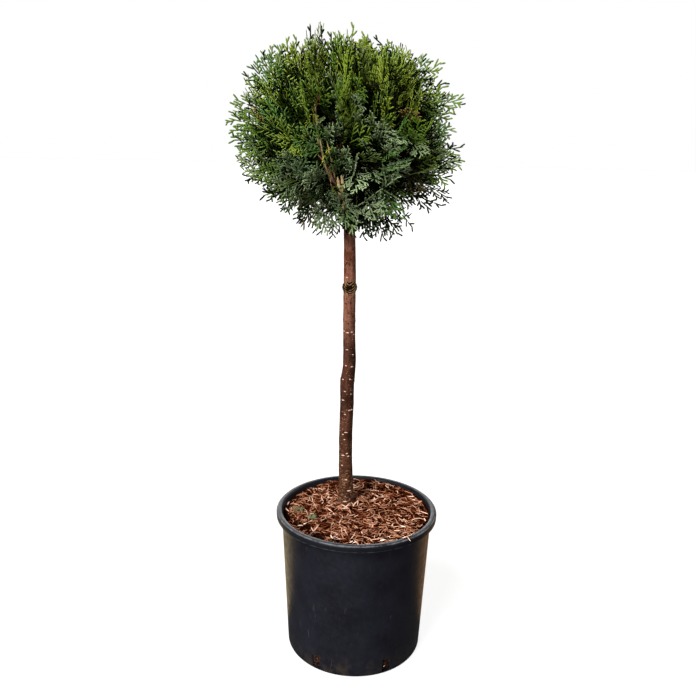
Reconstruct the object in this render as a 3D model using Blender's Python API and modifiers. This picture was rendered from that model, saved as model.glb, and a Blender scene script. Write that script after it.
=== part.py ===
"""A potted thuja grown as a half-standard: a loose ball of flat green sprays on a bare stem.

Metres, +Z up. The origin is the centre of the pot's flat underside, which stands on z = 0.
The trunk stands on the soil in the pot and runs up into the ball. Boughs leave it in three tiers,
and each ends where it enters its own mass of foliage: a dense core that twigs and sprays stand out of.
"""

import math
import random
from collections import namedtuple

import bmesh
import bpy
from mathutils import Matrix, Vector, noise

# Pot: a turned black container with a rolled rim and slots at its foot.
POT_HEIGHT = 0.313
RIM_RADIUS = 0.170
RIM_DEPTH = 0.0145
RIM_ROUND = 0.0050
WALL_TOP_RADIUS = 0.1590
WALL_FOOT_RADIUS = 0.1440
WALL = 0.0022
FOOT_ROUND = 0.0085
POT_STEPS = 32
SLOT_COUNT = 6
SLOT_WIDTH = 0.019
SLOT_LOW = 0.0060
SLOT_HIGH = 0.0370
SLOT_PHASE = math.radians(-122.2)

# Soil and mulch inside the pot.
GAP = 0.0003
SOIL_TOP = 0.2870
MULCH_EDGE_HEIGHT = 0.2960
MULCH_MOUND = 0.0065
MULCH_LUMP = 0.0028
MULCH_RINGS = 6

# Trunk: height, x, y and radius where the line of the stem turns or its girth changes.
TRUNK_BASE = SOIL_TOP + GAP
TRUNK_LINE = (
    (TRUNK_BASE, -0.0222, 0.0400, 0.0225),
    (0.2970, -0.0222, 0.0400, 0.0205),
    (0.3120, -0.0226, 0.0400, 0.0174),
    (0.3400, -0.0234, 0.0402, 0.0156),
    (0.4000, -0.0252, 0.0406, 0.0144),
    (0.4600, -0.0260, 0.0400, 0.0141),
    (0.5380, -0.0247, 0.0392, 0.0144),
    (0.5780, -0.0250, 0.0394, 0.0146),
    (0.6170, -0.0213, 0.0402, 0.0135),
    (0.6800, -0.0228, 0.0404, 0.0127),
    (0.7500, -0.0237, 0.0398, 0.0126),
    (0.8100, -0.0241, 0.0398, 0.0124),
    (0.8800, -0.0260, 0.0402, 0.0117),
    (0.9600, -0.0298, 0.0404, 0.0106),
    (1.0300, -0.0338, 0.0400, 0.0082),
    (1.1000, -0.0366, 0.0400, 0.0052),
)
# Rings left on the stem by old whorls of twigs: height, how far they stand out, half their height.
TRUNK_RINGS = (
    (0.5850, 0.0006, 0.007),
    (0.7130, 0.0005, 0.005),
    (0.7810, 0.0031, 0.009),
)
TRUNK_STEP = 0.032
TRUNK_BEVEL_RESOLUTION = 3

# Crown: an ellipsoid that the tips reach, with low swellings.
CROWN_CENTRE = Vector((-0.037, 0.040, 1.085))
CROWN_REACH = Vector((0.224, 0.216, 0.203))
SWELLING = 0.07
SWELLING_SCALE = 1.9
# The furthest tips: shoots that stand out of the ball.
LEADER_TIPS = (
    Vector((-0.1080, 0.0250, 1.2850)),
    Vector((-0.0860, 0.0520, 1.2790)),
    Vector((-0.0200, 0.0300, 1.2820)),
    Vector((0.0620, 0.0600, 1.2490)),
    Vector((0.1400, 0.0500, 1.2120)),
    Vector((0.1920, 0.0150, 1.1510)),
    Vector((0.1910, 0.0450, 1.0370)),
    Vector((0.1560, 0.0200, 0.9450)),
    Vector((0.0330, 0.0200, 0.8750)),
    Vector((-0.0750, 0.0300, 0.8850)),
    Vector((-0.2000, 0.0300, 0.9600)),
    Vector((-0.2490, 0.0300, 1.0440)),
    Vector((-0.2640, 0.0300, 1.1020)),
    Vector((-0.2210, 0.0600, 1.2290)),
    Vector((-0.1450, 0.0300, 1.2540)),
    Vector((-0.0500, -0.1750, 1.1300)),
    Vector((0.0300, 0.2450, 1.1100)),
)
# Tiers of foliage: name, masses, elevation, first azimuth, height where the boughs leave the trunk.
TIERS = (
    ("top", 1, 90.0, 0.0, 1.100),
    ("upper", 5, 41.0, 58.0, 1.060),
    ("middle", 6, -1.0, 20.0, 1.016),
    ("lower", 4, -46.0, -8.0, 0.930),
)
TIER_STAGGER = 0.010
CORE_DISTANCE = 0.56
CORE_RADIUS = 0.044
CORE_SHARE = 0.45
CORE_LUMP = 0.22
CORE_LONG = 1.22
CELL_MARGIN = 0.0006

# Boughs and the stems of the masses.
BOUGH_RADIUS = 0.0046
BOUGH_TIP_RADIUS = 0.0032
BOUGH_POINTS = 5
BOUGH_BEVEL_RESOLUTION = 2
LIMB_CLEARANCE = 0.0035
ENTRY = 0.014
STEM_SIDES = 6

# Twigs and sprays.
TWIG_RINGS = ((4, math.radians(26.0)), (6, math.radians(52.0)), (5, math.radians(80.0)))
TWIG_RADIUS = 0.0019
TWIG_SIDES = 3
TWIG_PROUD = 0.010
TWIG_DROOP = 0.16
SPRAY_LONGEST = 0.088
SPRAY_SHORTEST = 0.030
SPRAY_WIDTH = 0.36
SPRAY_THICKNESS = 0.026
# Half of a spray's outline, as shares of its length and of its half width: five pointed fingers.
SPRAY_OUTLINE = ((0.0, 0.08), (0.46, 1.0), (0.43, 0.30), (0.80, 0.74), (0.70, 0.24))
SPRAY_MIDDLE = 0.45


Mass = namedtuple("Mass", "name tier direction core radius leaves_at")


def clear_scene():
    for obj in list(bpy.data.objects):
        bpy.data.objects.remove(obj)


def new_collection(name, hidden=False):
    collection = bpy.data.collections.new(name)
    collection.hide_render = hidden
    bpy.context.scene.collection.children.link(collection)
    return collection


def material(name, colour, roughness, metallic=0.0):
    made = bpy.data.materials.new(name)
    made.use_nodes = True
    shader = made.node_tree.nodes["Principled BSDF"]
    shader.inputs["Base Color"].default_value = (*colour, 1.0)
    shader.inputs["Roughness"].default_value = roughness
    shader.inputs["Metallic"].default_value = metallic
    return made


def add_object(name, data, collection, mat=None):
    obj = bpy.data.objects.new(name, data)
    collection.objects.link(obj)
    if mat is not None:
        obj.data.materials.clear()
        obj.data.materials.append(mat)
    return obj


def mesh_from(bm, name, smooth_angle=None):
    """The bmesh as a mesh, shaded smooth with edges over the angle kept sharp."""
    bmesh.ops.recalc_face_normals(bm, faces=bm.faces[:])
    mesh = bpy.data.meshes.new(name)
    bm.to_mesh(mesh)
    bm.free()
    if smooth_angle is not None:
        mesh.shade_smooth()
        mesh.set_sharp_from_angle(angle=smooth_angle)
    return mesh


def apply_modifiers(obj, weld=False):
    """Replaces the object by its evaluated mesh, with a curve's loose caps welded on if asked."""
    graph = bpy.context.evaluated_depsgraph_get()
    mesh = bpy.data.meshes.new_from_object(obj.evaluated_get(graph))
    made = bpy.data.objects.new(obj.name, mesh)
    made.matrix_world = obj.matrix_world
    for collection in obj.users_collection:
        collection.objects.link(made)
    name = obj.name
    bpy.data.objects.remove(obj)
    made.name = name
    if weld:
        bm = bmesh.new()
        bm.from_mesh(mesh)
        bmesh.ops.remove_doubles(bm, verts=bm.verts[:], dist=0.00001)
        bm.to_mesh(mesh)
        bm.free()
    return made


def boolean(obj, operation, other=None, collection=None, solver="EXACT"):
    """Applies one Boolean, with one object or with all of a collection."""
    modifier = obj.modifiers.new(operation.lower(), "BOOLEAN")
    modifier.operation = operation
    modifier.solver = solver
    if collection is None:
        modifier.object = other
    else:
        modifier.operand_type = "COLLECTION"
        modifier.collection = collection
    return apply_modifiers(obj)


def turned(name, profile, steps, collection, mat):
    """A solid turned round +Z from a profile of (radius, height), outer side running down."""
    bm = bmesh.new()
    points = [bm.verts.new((radius, 0.0, height)) for radius, height in profile]
    for first, second in zip(points, points[1:]):
        bm.edges.new((first, second))
    mesh = bpy.data.meshes.new(name)
    bm.to_mesh(mesh)
    bm.free()
    obj = add_object(name, mesh, collection, mat)
    screw = obj.modifiers.new("turn", "SCREW")
    screw.axis = "Z"
    screw.steps = steps
    screw.render_steps = steps
    screw.use_merge_vertices = True
    screw.merge_threshold = 0.00002
    return obj


def arc(centre, radius, start, end, pieces):
    """Points on an arc in the profile's plane, from start to end degrees."""
    found = []
    for i in range(pieces + 1):
        angle = math.radians(start + (end - start) * i / pieces)
        found.append((centre[0] + radius * math.cos(angle), centre[1] + radius * math.sin(angle)))
    return found


def wall_radius(height):
    """The pot wall's outer radius at a height."""
    return WALL_FOOT_RADIUS + (WALL_TOP_RADIUS - WALL_FOOT_RADIUS) * height / POT_HEIGHT


def make_pot(collection, cutters, mat):
    lip = WALL * 0.9
    rim_low = POT_HEIGHT - RIM_DEPTH
    inside_foot = wall_radius(WALL + FOOT_ROUND) - WALL
    inside_top = wall_radius(POT_HEIGHT) - WALL
    profile = [(0.0, WALL), (inside_foot - FOOT_ROUND, WALL)]
    profile += [(inside_foot, WALL + FOOT_ROUND), (inside_top, POT_HEIGHT - RIM_ROUND)]
    profile += [(inside_top + 0.6 * RIM_ROUND, POT_HEIGHT)]
    profile += arc((RIM_RADIUS - RIM_ROUND, POT_HEIGHT - RIM_ROUND), RIM_ROUND, 90.0, 0.0, 3)
    profile += [(RIM_RADIUS - 0.0006, rim_low), (RIM_RADIUS - 0.0006 - lip, rim_low)]
    profile += [(RIM_RADIUS - lip, POT_HEIGHT - RIM_ROUND), (RIM_RADIUS - lip - RIM_ROUND, POT_HEIGHT - lip)]
    profile += [(wall_radius(POT_HEIGHT), POT_HEIGHT - lip)]
    foot = wall_radius(FOOT_ROUND)
    profile += arc((foot - FOOT_ROUND, FOOT_ROUND), FOOT_ROUND, 0.0, -90.0, 3)
    profile += [(0.0, 0.0)]
    pot = apply_modifiers(turned("pot", profile, POT_STEPS, collection, mat))
    for i in range(SLOT_COUNT):
        angle = SLOT_PHASE + 2.0 * math.pi * i / SLOT_COUNT
        bm = bmesh.new()
        size = Vector((6.0 * FOOT_ROUND, SLOT_WIDTH, SLOT_HIGH - SLOT_LOW))
        bmesh.ops.create_cube(bm, size=1.0, matrix=Matrix.Diagonal((*size, 1.0)))
        slot = add_object(f"slot_cutter_{i + 1}", mesh_from(bm, "slot"), cutters)
        middle = Vector((WALL_FOOT_RADIUS, 0.0, (SLOT_LOW + SLOT_HIGH) / 2.0))
        slot.matrix_world = Matrix.Rotation(angle, 4, "Z") @ Matrix.Translation(middle)
        bpy.context.view_layer.update()
        pot = boolean(pot, "DIFFERENCE", slot)
    pot.data.shade_smooth()
    pot.data.set_sharp_from_angle(angle=math.radians(35.0))
    return pot


def make_soil(collection, mat):
    """The root ball: a plug that fills the pot to just under its mulch."""
    floor = WALL + GAP
    foot = wall_radius(WALL + FOOT_ROUND) - WALL - GAP
    top = wall_radius(SOIL_TOP) - WALL - GAP
    profile = [(0.0, SOIL_TOP), (top, SOIL_TOP), (foot, WALL + FOOT_ROUND)]
    profile += [(foot - FOOT_ROUND, floor), (0.0, floor)]
    return turned("soil", profile, POT_STEPS, collection, mat)


def mulch_height(x, y):
    """The height of the mulch's surface: higher round the trunk, with lumps."""
    trunk = trunk_point(MULCH_EDGE_HEIGHT)
    away = math.hypot(x - trunk.x, y - trunk.y) / WALL_TOP_RADIUS
    mound = MULCH_MOUND * max(0.0, 1.0 - away) ** 1.5
    lumps = noise.noise(Vector((x, y, 0.0)) * 26.0) + 0.6 * noise.noise(Vector((x, y, 0.31)) * 61.0)
    return MULCH_EDGE_HEIGHT + mound + MULCH_LUMP * lumps


def make_mulch(collection, trunk_cutter, mat):
    """A loose layer of bark over the soil, cut clear of the trunk."""
    low = SOIL_TOP + GAP
    edge = wall_radius(low) - WALL - GAP
    radii = [edge * (i / MULCH_RINGS) ** 0.8 for i in range(MULCH_RINGS + 1)]
    profile = [(radius, MULCH_EDGE_HEIGHT) for radius in radii] + [(edge, low), (0.0, low)]
    mulch = apply_modifiers(turned("mulch", profile, POT_STEPS, collection, mat))
    for vertex in mulch.data.vertices:
        if vertex.co.z > low + GAP:
            vertex.co.z = mulch_height(vertex.co.x, vertex.co.y)
    return boolean(mulch, "DIFFERENCE", trunk_cutter)


def spread(line, height, column):
    """A value of the trunk's line at a height, by a smooth curve through its points."""
    last = len(line) - 1
    i = next((k for k in range(last) if height <= line[k + 1][0]), last - 1)
    before, start, end, after = (line[min(max(k, 0), last)] for k in (i - 1, i, i + 1, i + 2))
    share = (height - start[0]) / (end[0] - start[0])
    slope_in = (end[column] - before[column]) / (end[0] - before[0]) * (end[0] - start[0])
    slope_out = (after[column] - start[column]) / (after[0] - start[0]) * (end[0] - start[0])
    square, cube = share * share, share * share * share
    return (
        (2 * cube - 3 * square + 1) * start[column]
        + (cube - 2 * square + share) * slope_in
        + (3 * square - 2 * cube) * end[column]
        + (cube - square) * slope_out
    )


def trunk_point(height):
    return Vector((spread(TRUNK_LINE, height, 1), spread(TRUNK_LINE, height, 2), height))


def trunk_radius(height):
    radius = spread(TRUNK_LINE, height, 3)
    for middle, proud, half in TRUNK_RINGS:
        radius += proud * max(0.0, 1.0 - ((height - middle) / half) ** 2)
    return radius


def trunk_heights():
    """The heights of the trunk's sections: even, and closer at the flare and the rings."""
    top = TRUNK_LINE[-1][0]
    count = round((top - TRUNK_BASE) / TRUNK_STEP)
    found = [TRUNK_BASE + (top - TRUNK_BASE) * i / count for i in range(count + 1)]
    found.append(TRUNK_LINE[1][0])
    middle, _, half = TRUNK_RINGS[-1]
    found = [height for height in found if abs(height - middle) > 1.6 * half]
    found += [middle + share * half for share in (-1.4, -1.0, -0.5, 0.0, 0.5, 1.0, 1.4)]
    return sorted(found)


def limb(name, points, radii, resolution, collection, mat=None):
    """A round tapering limb along a line of points."""
    curve = bpy.data.curves.new(name, "CURVE")
    curve.dimensions = "3D"
    curve.bevel_depth = 1.0
    curve.bevel_resolution = resolution
    curve.use_fill_caps = True
    spline = curve.splines.new("POLY")
    spline.points.add(len(points) - 1)
    for spot, place, radius in zip(spline.points, points, radii):
        spot.co = (*place, 1.0)
        spot.radius = radius
    spline.use_smooth = True
    return apply_modifiers(add_object(name, curve, collection, mat), weld=True)


def make_trunk(name, collection, mat=None, wider=0.0):
    """The trunk, or a cutter that clears it when it is wider and runs past its ends."""
    heights = trunk_heights()
    points = [trunk_point(height) for height in heights]
    radii = [trunk_radius(height) + wider for height in heights]
    # The first stretch is upright, so that the foot is cut level.
    points[1].x, points[1].y = points[0].x, points[0].y
    if wider:
        points = [points[0] - Vector((0.0, 0.0, 10.0 * wider)), *points]
        radii = [radii[0], *radii]
        points[-1].z += wider
    return limb(name, points, radii, TRUNK_BEVEL_RESOLUTION, collection, mat)


def crown_reach(direction):
    """How far the crown reaches from its centre in a direction."""
    scaled = Vector(direction[i] / CROWN_REACH[i] for i in range(3))
    swell = 1.0 + SWELLING * noise.noise(direction * SWELLING_SCALE + Vector((3.1, 1.7, 0.4)))
    return swell / scaled.length


def way_out(start, direction):
    """The distance from a point inside the crown to its outline, along a direction."""
    low, high = 0.0, 0.5
    for _ in range(24):
        middle = (low + high) / 2.0
        offset = start + direction * middle - CROWN_CENTRE
        if offset.length < crown_reach(offset.normalized()):
            low = middle
        else:
            high = middle
    return low


def mass_plan():
    """Each mass of foliage: where its core lies, how large it is and where its bough leaves the trunk."""
    found = []
    for tier, count, elevation, phase, height in TIERS:
        for i in range(count):
            azimuth = math.radians(phase + 360.0 * i / count)
            tilt = math.radians(elevation)
            direction = Vector(
                (math.cos(azimuth) * math.cos(tilt), math.sin(azimuth) * math.cos(tilt), math.sin(tilt))
            )
            name = tier if count == 1 else f"{tier}_{i + 1}"
            core = CROWN_CENTRE + direction * CORE_DISTANCE * crown_reach(direction)
            leaves_at = height + TIER_STAGGER * (i % 3)
            found.append(Mass(name, tier, direction, core, CORE_RADIUS, leaves_at))
    sized = []
    for mass in found:
        nearest = min((other.core - mass.core).length for other in found if other is not mass)
        sized.append(mass._replace(radius=min(CORE_RADIUS, CORE_SHARE * nearest)))
    return sized


def bough_line(mass):
    """The centre line of a bough from the trunk's axis to where it enters its mass."""
    start = trunk_point(mass.leaves_at)
    entry = mass.core + (start - mass.core).normalized() * (mass.radius + ENTRY)
    inward = (mass.core - entry).normalized()
    turn = entry - inward * 0.45 * (entry - start).length + Vector((0.0, 0.0, -0.004))
    line = []
    for i in range(BOUGH_POINTS):
        share = i / (BOUGH_POINTS - 1)
        line.append(start * (1 - share) ** 2 + turn * 2 * share * (1 - share) + entry * share**2)
    return line


def bough_radius(share):
    return BOUGH_RADIUS + (BOUGH_TIP_RADIUS - BOUGH_RADIUS) * share


def cone_between(bm, start, end, start_radius, end_radius, sides):
    """Adds a capped tapering stick to the bmesh."""
    along = end - start
    place = Matrix.Translation((start + end) / 2.0) @ along.to_track_quat("Z", "Y").to_matrix().to_4x4()
    bmesh.ops.create_cone(
        bm,
        cap_ends=True,
        segments=sides,
        radius1=start_radius,
        radius2=end_radius,
        depth=along.length,
        matrix=place,
    )


def spray_points(root, along, across, length):
    """A spray's outline, round from one side of its root to the other, and its two middle points."""
    half = SPRAY_WIDTH * length
    side = [root + along * (length * t) + across * (half * v) for t, v in SPRAY_OUTLINE]
    other = [root + along * (length * t) - across * (half * v) for t, v in SPRAY_OUTLINE]
    tip = root + along * length
    face = along.cross(across)
    middle = root + along * (SPRAY_MIDDLE * length)
    lift = face * (SPRAY_THICKNESS * length / 2.0)
    return side + [tip] + other[::-1], (middle + lift, middle - lift)


def add_spray(bm, outline, middles):
    """A toothed blade: two shallow pyramids on one outline."""
    edge = [bm.verts.new(point) for point in outline]
    for middle in middles:
        peak = bm.verts.new(middle)
        for i, vert in enumerate(edge):
            bm.faces.new((vert, edge[(i + 1) % len(edge)], peak))


class Space:
    """The space that a mass keeps to: its cell among the cores, clear of trunk and boughs."""

    def __init__(self, core, others, limbs):
        self.sides = []
        for other in others:
            away = other - core
            self.sides.append(((core + other) / 2.0, away.normalized()))
        self.limbs = limbs

    def inside(self, point):
        return all((point - middle).dot(away) < -CELL_MARGIN for middle, away in self.sides)

    def clear(self, point):
        for line, radii in self.limbs:
            for i in range(len(line) - 1):
                run = line[i + 1] - line[i]
                share = min(1.0, max(0.0, (point - line[i]).dot(run) / run.length_squared))
                radius = max(radii[i], radii[i + 1]) + LIMB_CLEARANCE
                if (line[i] + run * share - point).length < radius:
                    return False
        return True

    def holds_spray(self, outline, middles):
        if not all(self.inside(point) for point in outline + list(middles)):
            return False
        centre = (middles[0] + middles[1]) / 2.0
        return all(
            self.clear(centre.lerp(point, share)) for point in outline for share in (0.0, 0.35, 0.7, 1.0)
        )

    def holds_stick(self, start, end):
        return all(
            self.inside(start.lerp(end, share)) and self.clear(start.lerp(end, share))
            for share in (0.0, 0.25, 0.5, 0.75, 1.0)
        )


def turned_from(direction, tilt, azimuth):
    """The direction tilted away from itself, at an azimuth round it."""
    side = direction.orthogonal().normalized()
    axis = Matrix.Rotation(azimuth, 3, direction) @ side
    return (Matrix.Rotation(tilt, 3, axis) @ direction).normalized()


def rolled(along, roll):
    """A direction across a spray, at a roll round its length."""
    return Matrix.Rotation(roll, 3, along) @ along.orthogonal().normalized()


def facing_front(along):
    """A direction across a leader's spray that lays it broad side to the front, or to the side."""
    to_view = Vector((1.0, 0.0, 0.0)) if abs(along.y) > 0.7 else Vector((0.0, 1.0, 0.0))
    return along.cross(to_view).normalized()


def try_spray(space, pieces, root, along, across, length):
    """Adds a spray if the space holds it, shorter where it must be."""
    while length > SPRAY_SHORTEST:
        outline, middles = spray_points(root, along, across, length)
        if space.holds_spray(outline, middles):
            bm = bmesh.new()
            add_spray(bm, outline, middles)
            pieces.append(bm)
            return
        length *= 0.86


def grow(mass, space, seed):
    """The pieces of a mass that stand out of its core: twigs in rings, each with a spray on its end."""
    rng = random.Random(seed)
    core, direction, radius = mass.core, mass.direction, mass.radius
    leaders = [tip for tip in LEADER_TIPS if space.inside(tip)]
    ways = [(tip - core).normalized() for tip in leaders]
    droop = Vector((0.0, 0.0, -TWIG_DROOP)) * max(0.0, 0.2 - direction.z)
    for twigs, tilt in TWIG_RINGS:
        turn = rng.uniform(0.0, 2.0 * math.pi)
        for i in range(twigs):
            azimuth = turn + 2.0 * math.pi * (i + rng.uniform(-0.2, 0.2)) / twigs
            way = turned_from(direction, tilt * rng.uniform(0.85, 1.15), azimuth)
            ways.append((way + droop).normalized())
    pieces = []
    for i, way in enumerate(ways):
        start = core + way * (0.45 * radius)
        end = core + way * (radius + TWIG_PROUD * rng.uniform(0.7, 1.1))
        if not space.holds_stick(start, end):
            continue
        bm = bmesh.new()
        cone_between(bm, start, end, TWIG_RADIUS, 0.3 * TWIG_RADIUS, TWIG_SIDES)
        pieces.append(bm)
        root = core + way * ((end - core).length * 0.98)
        if i < len(leaders):
            try_spray(space, pieces, root, way, facing_front(way), (leaders[i] - root).length)
        else:
            length = min(SPRAY_LONGEST, way_out(root, way) * rng.uniform(0.93, 1.0))
            try_spray(space, pieces, root, way, rolled(way, rng.uniform(0.0, math.pi)), length)
    return pieces


def core_mesh(mass, space, seed):
    """The dense heart of a mass: an uneven ball, drawn in where it would leave its space."""
    bm = bmesh.new()
    bmesh.ops.create_icosphere(bm, subdivisions=2, radius=mass.radius)
    for vert in bm.verts:
        vert.co *= 1.0 + CORE_LUMP * noise.noise(vert.co * 22.0 + Vector((seed, 0.0, 0.0)))
        vert.co.z *= CORE_LONG
    turn = mass.direction.to_track_quat("Z", "Y").to_matrix().to_4x4()
    bmesh.ops.transform(bm, matrix=Matrix.Translation(mass.core) @ turn, verts=bm.verts[:])
    for vert in bm.verts:
        while not (space.inside(vert.co) and space.clear(vert.co)):
            vert.co = mass.core.lerp(vert.co, 0.94)
    return mesh_from(bm, mass.name)


def keep_largest_shell(mesh):
    """Drops loose scraps and the skins of sealed hollows that a union leaves."""
    bm = bmesh.new()
    bm.from_mesh(mesh)
    shells, seen = [], set()
    for face in bm.faces:
        if face in seen:
            continue
        shell, queue = [], [face]
        seen.add(face)
        while queue:
            current = queue.pop()
            shell.append(current)
            for edge in current.edges:
                for near in edge.link_faces:
                    if near not in seen:
                        seen.add(near)
                        queue.append(near)
        shells.append(shell)
    shells.sort(key=len, reverse=True)
    dropped = [face for shell in shells[1:] for face in shell]
    bmesh.ops.delete(bm, geom=dropped, context="FACES")
    bm.to_mesh(mesh)
    bm.free()


def make_mass(mass, plan, limbs, seed, collection, mat):
    """One mass of foliage, from its stem at the bough's tip to its furthest tips."""
    others = [other.core for other in plan if other is not mass]
    space = Space(mass.core, others, limbs)
    joined = new_collection(f"{mass.name}_pieces")
    for k, bm in enumerate(grow(mass, space, seed)):
        add_object(f"{mass.name}_piece_{k}", mesh_from(bm, "piece"), joined)
    if mass.tier == "top":
        line = [trunk_point(height) for height in trunk_heights()]
        foot_radius = TRUNK_LINE[-1][3]
    else:
        line = bough_line(mass)
        foot_radius = BOUGH_TIP_RADIUS
    foot = line[-1]
    onward = (foot - line[-2]).normalized()
    reach = (mass.core - foot).length - 0.3 * mass.radius
    bm = bmesh.new()
    cone_between(bm, foot + onward * GAP, foot + onward * reach, foot_radius, 0.6 * foot_radius, STEM_SIDES)
    add_object(f"{mass.name}_stem", mesh_from(bm, "stem"), joined)
    made = add_object(f"foliage_{mass.name}", core_mesh(mass, space, seed), collection, mat)
    made = boolean(made, "UNION", collection=joined, solver="MANIFOLD")
    for obj in list(joined.objects):
        bpy.data.objects.remove(obj)
    bpy.data.collections.remove(joined)
    keep_largest_shell(made.data)
    made.data.materials.clear()
    made.data.materials.append(mat)
    return made


def main():
    clear_scene()
    collection = new_collection("potted_thuja")
    cutters = new_collection("cutters", hidden=True)
    black = material("pot_plastic", (0.022, 0.024, 0.030), 0.45)
    earth = material("soil", (0.045, 0.028, 0.018), 0.95)
    bark_chips = material("mulch", (0.24, 0.10, 0.05), 0.85)
    bark = material("bark", (0.17, 0.075, 0.05), 0.75)
    greens = {
        "top": material("foliage_bright", (0.18, 0.28, 0.035), 0.6),
        "upper": material("foliage_sunlit", (0.13, 0.23, 0.035), 0.6),
        "middle": material("foliage_green", (0.075, 0.16, 0.035), 0.6),
        "lower": material("foliage_grey_green", (0.10, 0.17, 0.085), 0.65),
    }
    make_pot(collection, cutters, black)
    make_soil(collection, earth)
    make_trunk("trunk", collection, bark)
    trunk_cutter = make_trunk("trunk_cutter", cutters, wider=GAP)
    trunk_cutter.display_type = "WIRE"
    make_mulch(collection, trunk_cutter, bark_chips)
    plan = mass_plan()
    heights = trunk_heights()
    limbs = [([trunk_point(h) for h in heights], [trunk_radius(h) for h in heights])]
    shares = [i / (BOUGH_POINTS - 1) for i in range(BOUGH_POINTS)]
    for mass in plan[1:]:
        line = bough_line(mass)
        radii = [bough_radius(share) for share in shares]
        limbs.append((line, radii))
        bough = limb(f"bough_{mass.name}", line, radii, BOUGH_BEVEL_RESOLUTION, collection, bark)
        boolean(bough, "DIFFERENCE", trunk_cutter)
    for seed, mass in enumerate(plan):
        make_mass(mass, plan, limbs, seed, collection, greens[mass.tier])


main()
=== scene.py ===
"""The looks of a potted thuja grown as a half-standard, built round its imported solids.

Metres, in the frame of the CAD: the pot stands on z = 0, its axis is the z axis and +Z is up.
Foliage is flat sprays of small blades. They grow on twigs that leave each mass's core by the source's rule.
"""

import math
import random
from collections import namedtuple

import bpy
import numpy as np
from mathutils import Matrix, Vector, noise


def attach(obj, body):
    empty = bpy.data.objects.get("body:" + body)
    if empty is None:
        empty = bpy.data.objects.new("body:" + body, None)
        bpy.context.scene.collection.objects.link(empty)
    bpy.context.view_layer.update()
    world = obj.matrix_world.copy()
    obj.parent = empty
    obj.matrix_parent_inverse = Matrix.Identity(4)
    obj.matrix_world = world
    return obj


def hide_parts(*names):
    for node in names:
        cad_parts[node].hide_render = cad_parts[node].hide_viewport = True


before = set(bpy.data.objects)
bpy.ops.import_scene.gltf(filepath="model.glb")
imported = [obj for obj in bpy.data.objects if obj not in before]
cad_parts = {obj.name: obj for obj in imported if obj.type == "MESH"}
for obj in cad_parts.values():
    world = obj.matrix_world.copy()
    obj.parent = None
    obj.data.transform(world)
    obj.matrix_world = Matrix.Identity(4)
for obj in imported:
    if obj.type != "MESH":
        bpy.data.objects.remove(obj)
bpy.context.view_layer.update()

# Camera, as the photograph was taken.
PHOTO_PIXELS = 696
FOCAL_PIXELS = 766.13
SENSOR_MM = 36.0
CAMERA_PLACE = Vector((-0.0248, -1.5, 1.0489))
CAMERA_PITCH = -0.2517
CAMERA_ROLL = 0.0199
CAMERA_TURN = Matrix.Rotation(math.pi / 2.0 + CAMERA_PITCH, 3, "X") @ Matrix.Rotation(CAMERA_ROLL, 3, "Z")

# Stage and light. Each sun has its strength, colour and spread, and the azimuth and elevation it comes from.
FLOOR_RADII = (0.001, 2.0, 60.0)
FLOOR_GLOW = 0.84
BACKDROP = 58.0
BACKDROP_RISE = (-20.0, 89.9)
BACKDROP_ROWS = 24
STAGE_SIDES = 96
SUNS = (
    ("key", 4.0, (1.0, 0.98, 0.94), 20.0, -130.0, 48.0),
    ("front", 4.1, (1.0, 0.99, 0.97), 16.0, -116.0, 18.0),
    ("back", 2.4, (1.0, 1.0, 1.0), 40.0, 96.0, 14.0),
    ("side", 1.2, (1.0, 1.0, 1.0), 40.0, 32.0, 24.0),
)
WORLD_STRENGTH = 0.09
# Warm glowing cards behind the pot, standing in for ground, that only its sheen shows near both edges
# as painted reflections: the azimuth and the colour of each.
REFLECTED_GROUND = (("reflection_glow_left", 128.0, (1.35, 1.06, 0.60)), ("reflection_glow_right", 50.0, (0.80, 0.48, 0.26)))
REFLECTED_HALF = 35.0
REFLECTED_REACH = (0.18, 1.4)
REFLECTED_HEIGHT = 0.0006

# Pot, as in the source, and the sheen of its wall and rim.
POT_HEIGHT = 0.313
RIM_RADIUS = 0.170
RIM_DEPTH = 0.0145
RIM_ROUND = 0.0050
WALL_TOP_RADIUS = 0.1590
WALL_FOOT_RADIUS = 0.1440
WALL = 0.0022
FOOT_ROUND = 0.0085
POT_SIDES = 144
POT_SHINE = 0.27
RIM_SHINE = 0.10
SHARP_ANGLE = math.radians(40.0)
SLOT_COUNT = 6
SLOT_WIDTH = 0.019
SLOT_LOW = 0.0060
SLOT_HIGH = 0.0370
SLOT_PHASE = math.radians(-122.2)

# Soil and mulch, as in the source; then the loose fibres and the bank, finer than in it.
GAP = 0.0003
SOIL_TOP = 0.2870
MULCH_EDGE_HEIGHT = 0.2960
MULCH_MOUND = 0.0065
MULCH_LUMP = 0.0028
BED_RINGS = 60
BED_SIDES = 144
BED_CRUMB = 0.0011
BED_DROP = 0.0008
FIBRE_COUNT = 5200
FIBRE_LENGTHS = (0.011, 0.029)
FIBRE_WIDTHS = (0.0011, 0.0028)
FIBRE_LIFTS = (0.0002, 0.0042)
FIBRE_TILT = 0.16
FIBRE_CURL = 1.1
FIBRE_CLEARANCE = -0.001
# How much a fibre's height in the heap and chance weigh in its shade; the lower fibres are drawn darker, as
# painted shade.
SHADE_WEIGHTS = (0.55, 0.45)
# How high the fibres pile up round the stem, and how soon that dies away from it.
FOOT_HEAP = 0.0060
FOOT_HEAP_REACH = 0.012
# The mulch rises towards the wall at one azimuth, from a radius on, and stands off it at another.
BANK = (math.radians(68.0), 0.0120)
BANK_START = 0.100
EDGE_GAP = (math.radians(165.0), 0.0065)
CHIPS_PER_SLOT = 16
SLOT_CHIP_RADIUS = 0.0009
# How strongly the chips in the slots lean to the darkest shades, as painted shade inside the pot.
SLOT_CHIP_DARKNESS = 3.0

# Where the photograph shows bare soil in the mulch: a pixel and a radius; and how many fibres it lacks.
BARE_GROUND = (((307, 530), 0.016), ((321, 537), 0.015), ((333, 541), 0.009))
BARE_SHARE = 0.93
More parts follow.
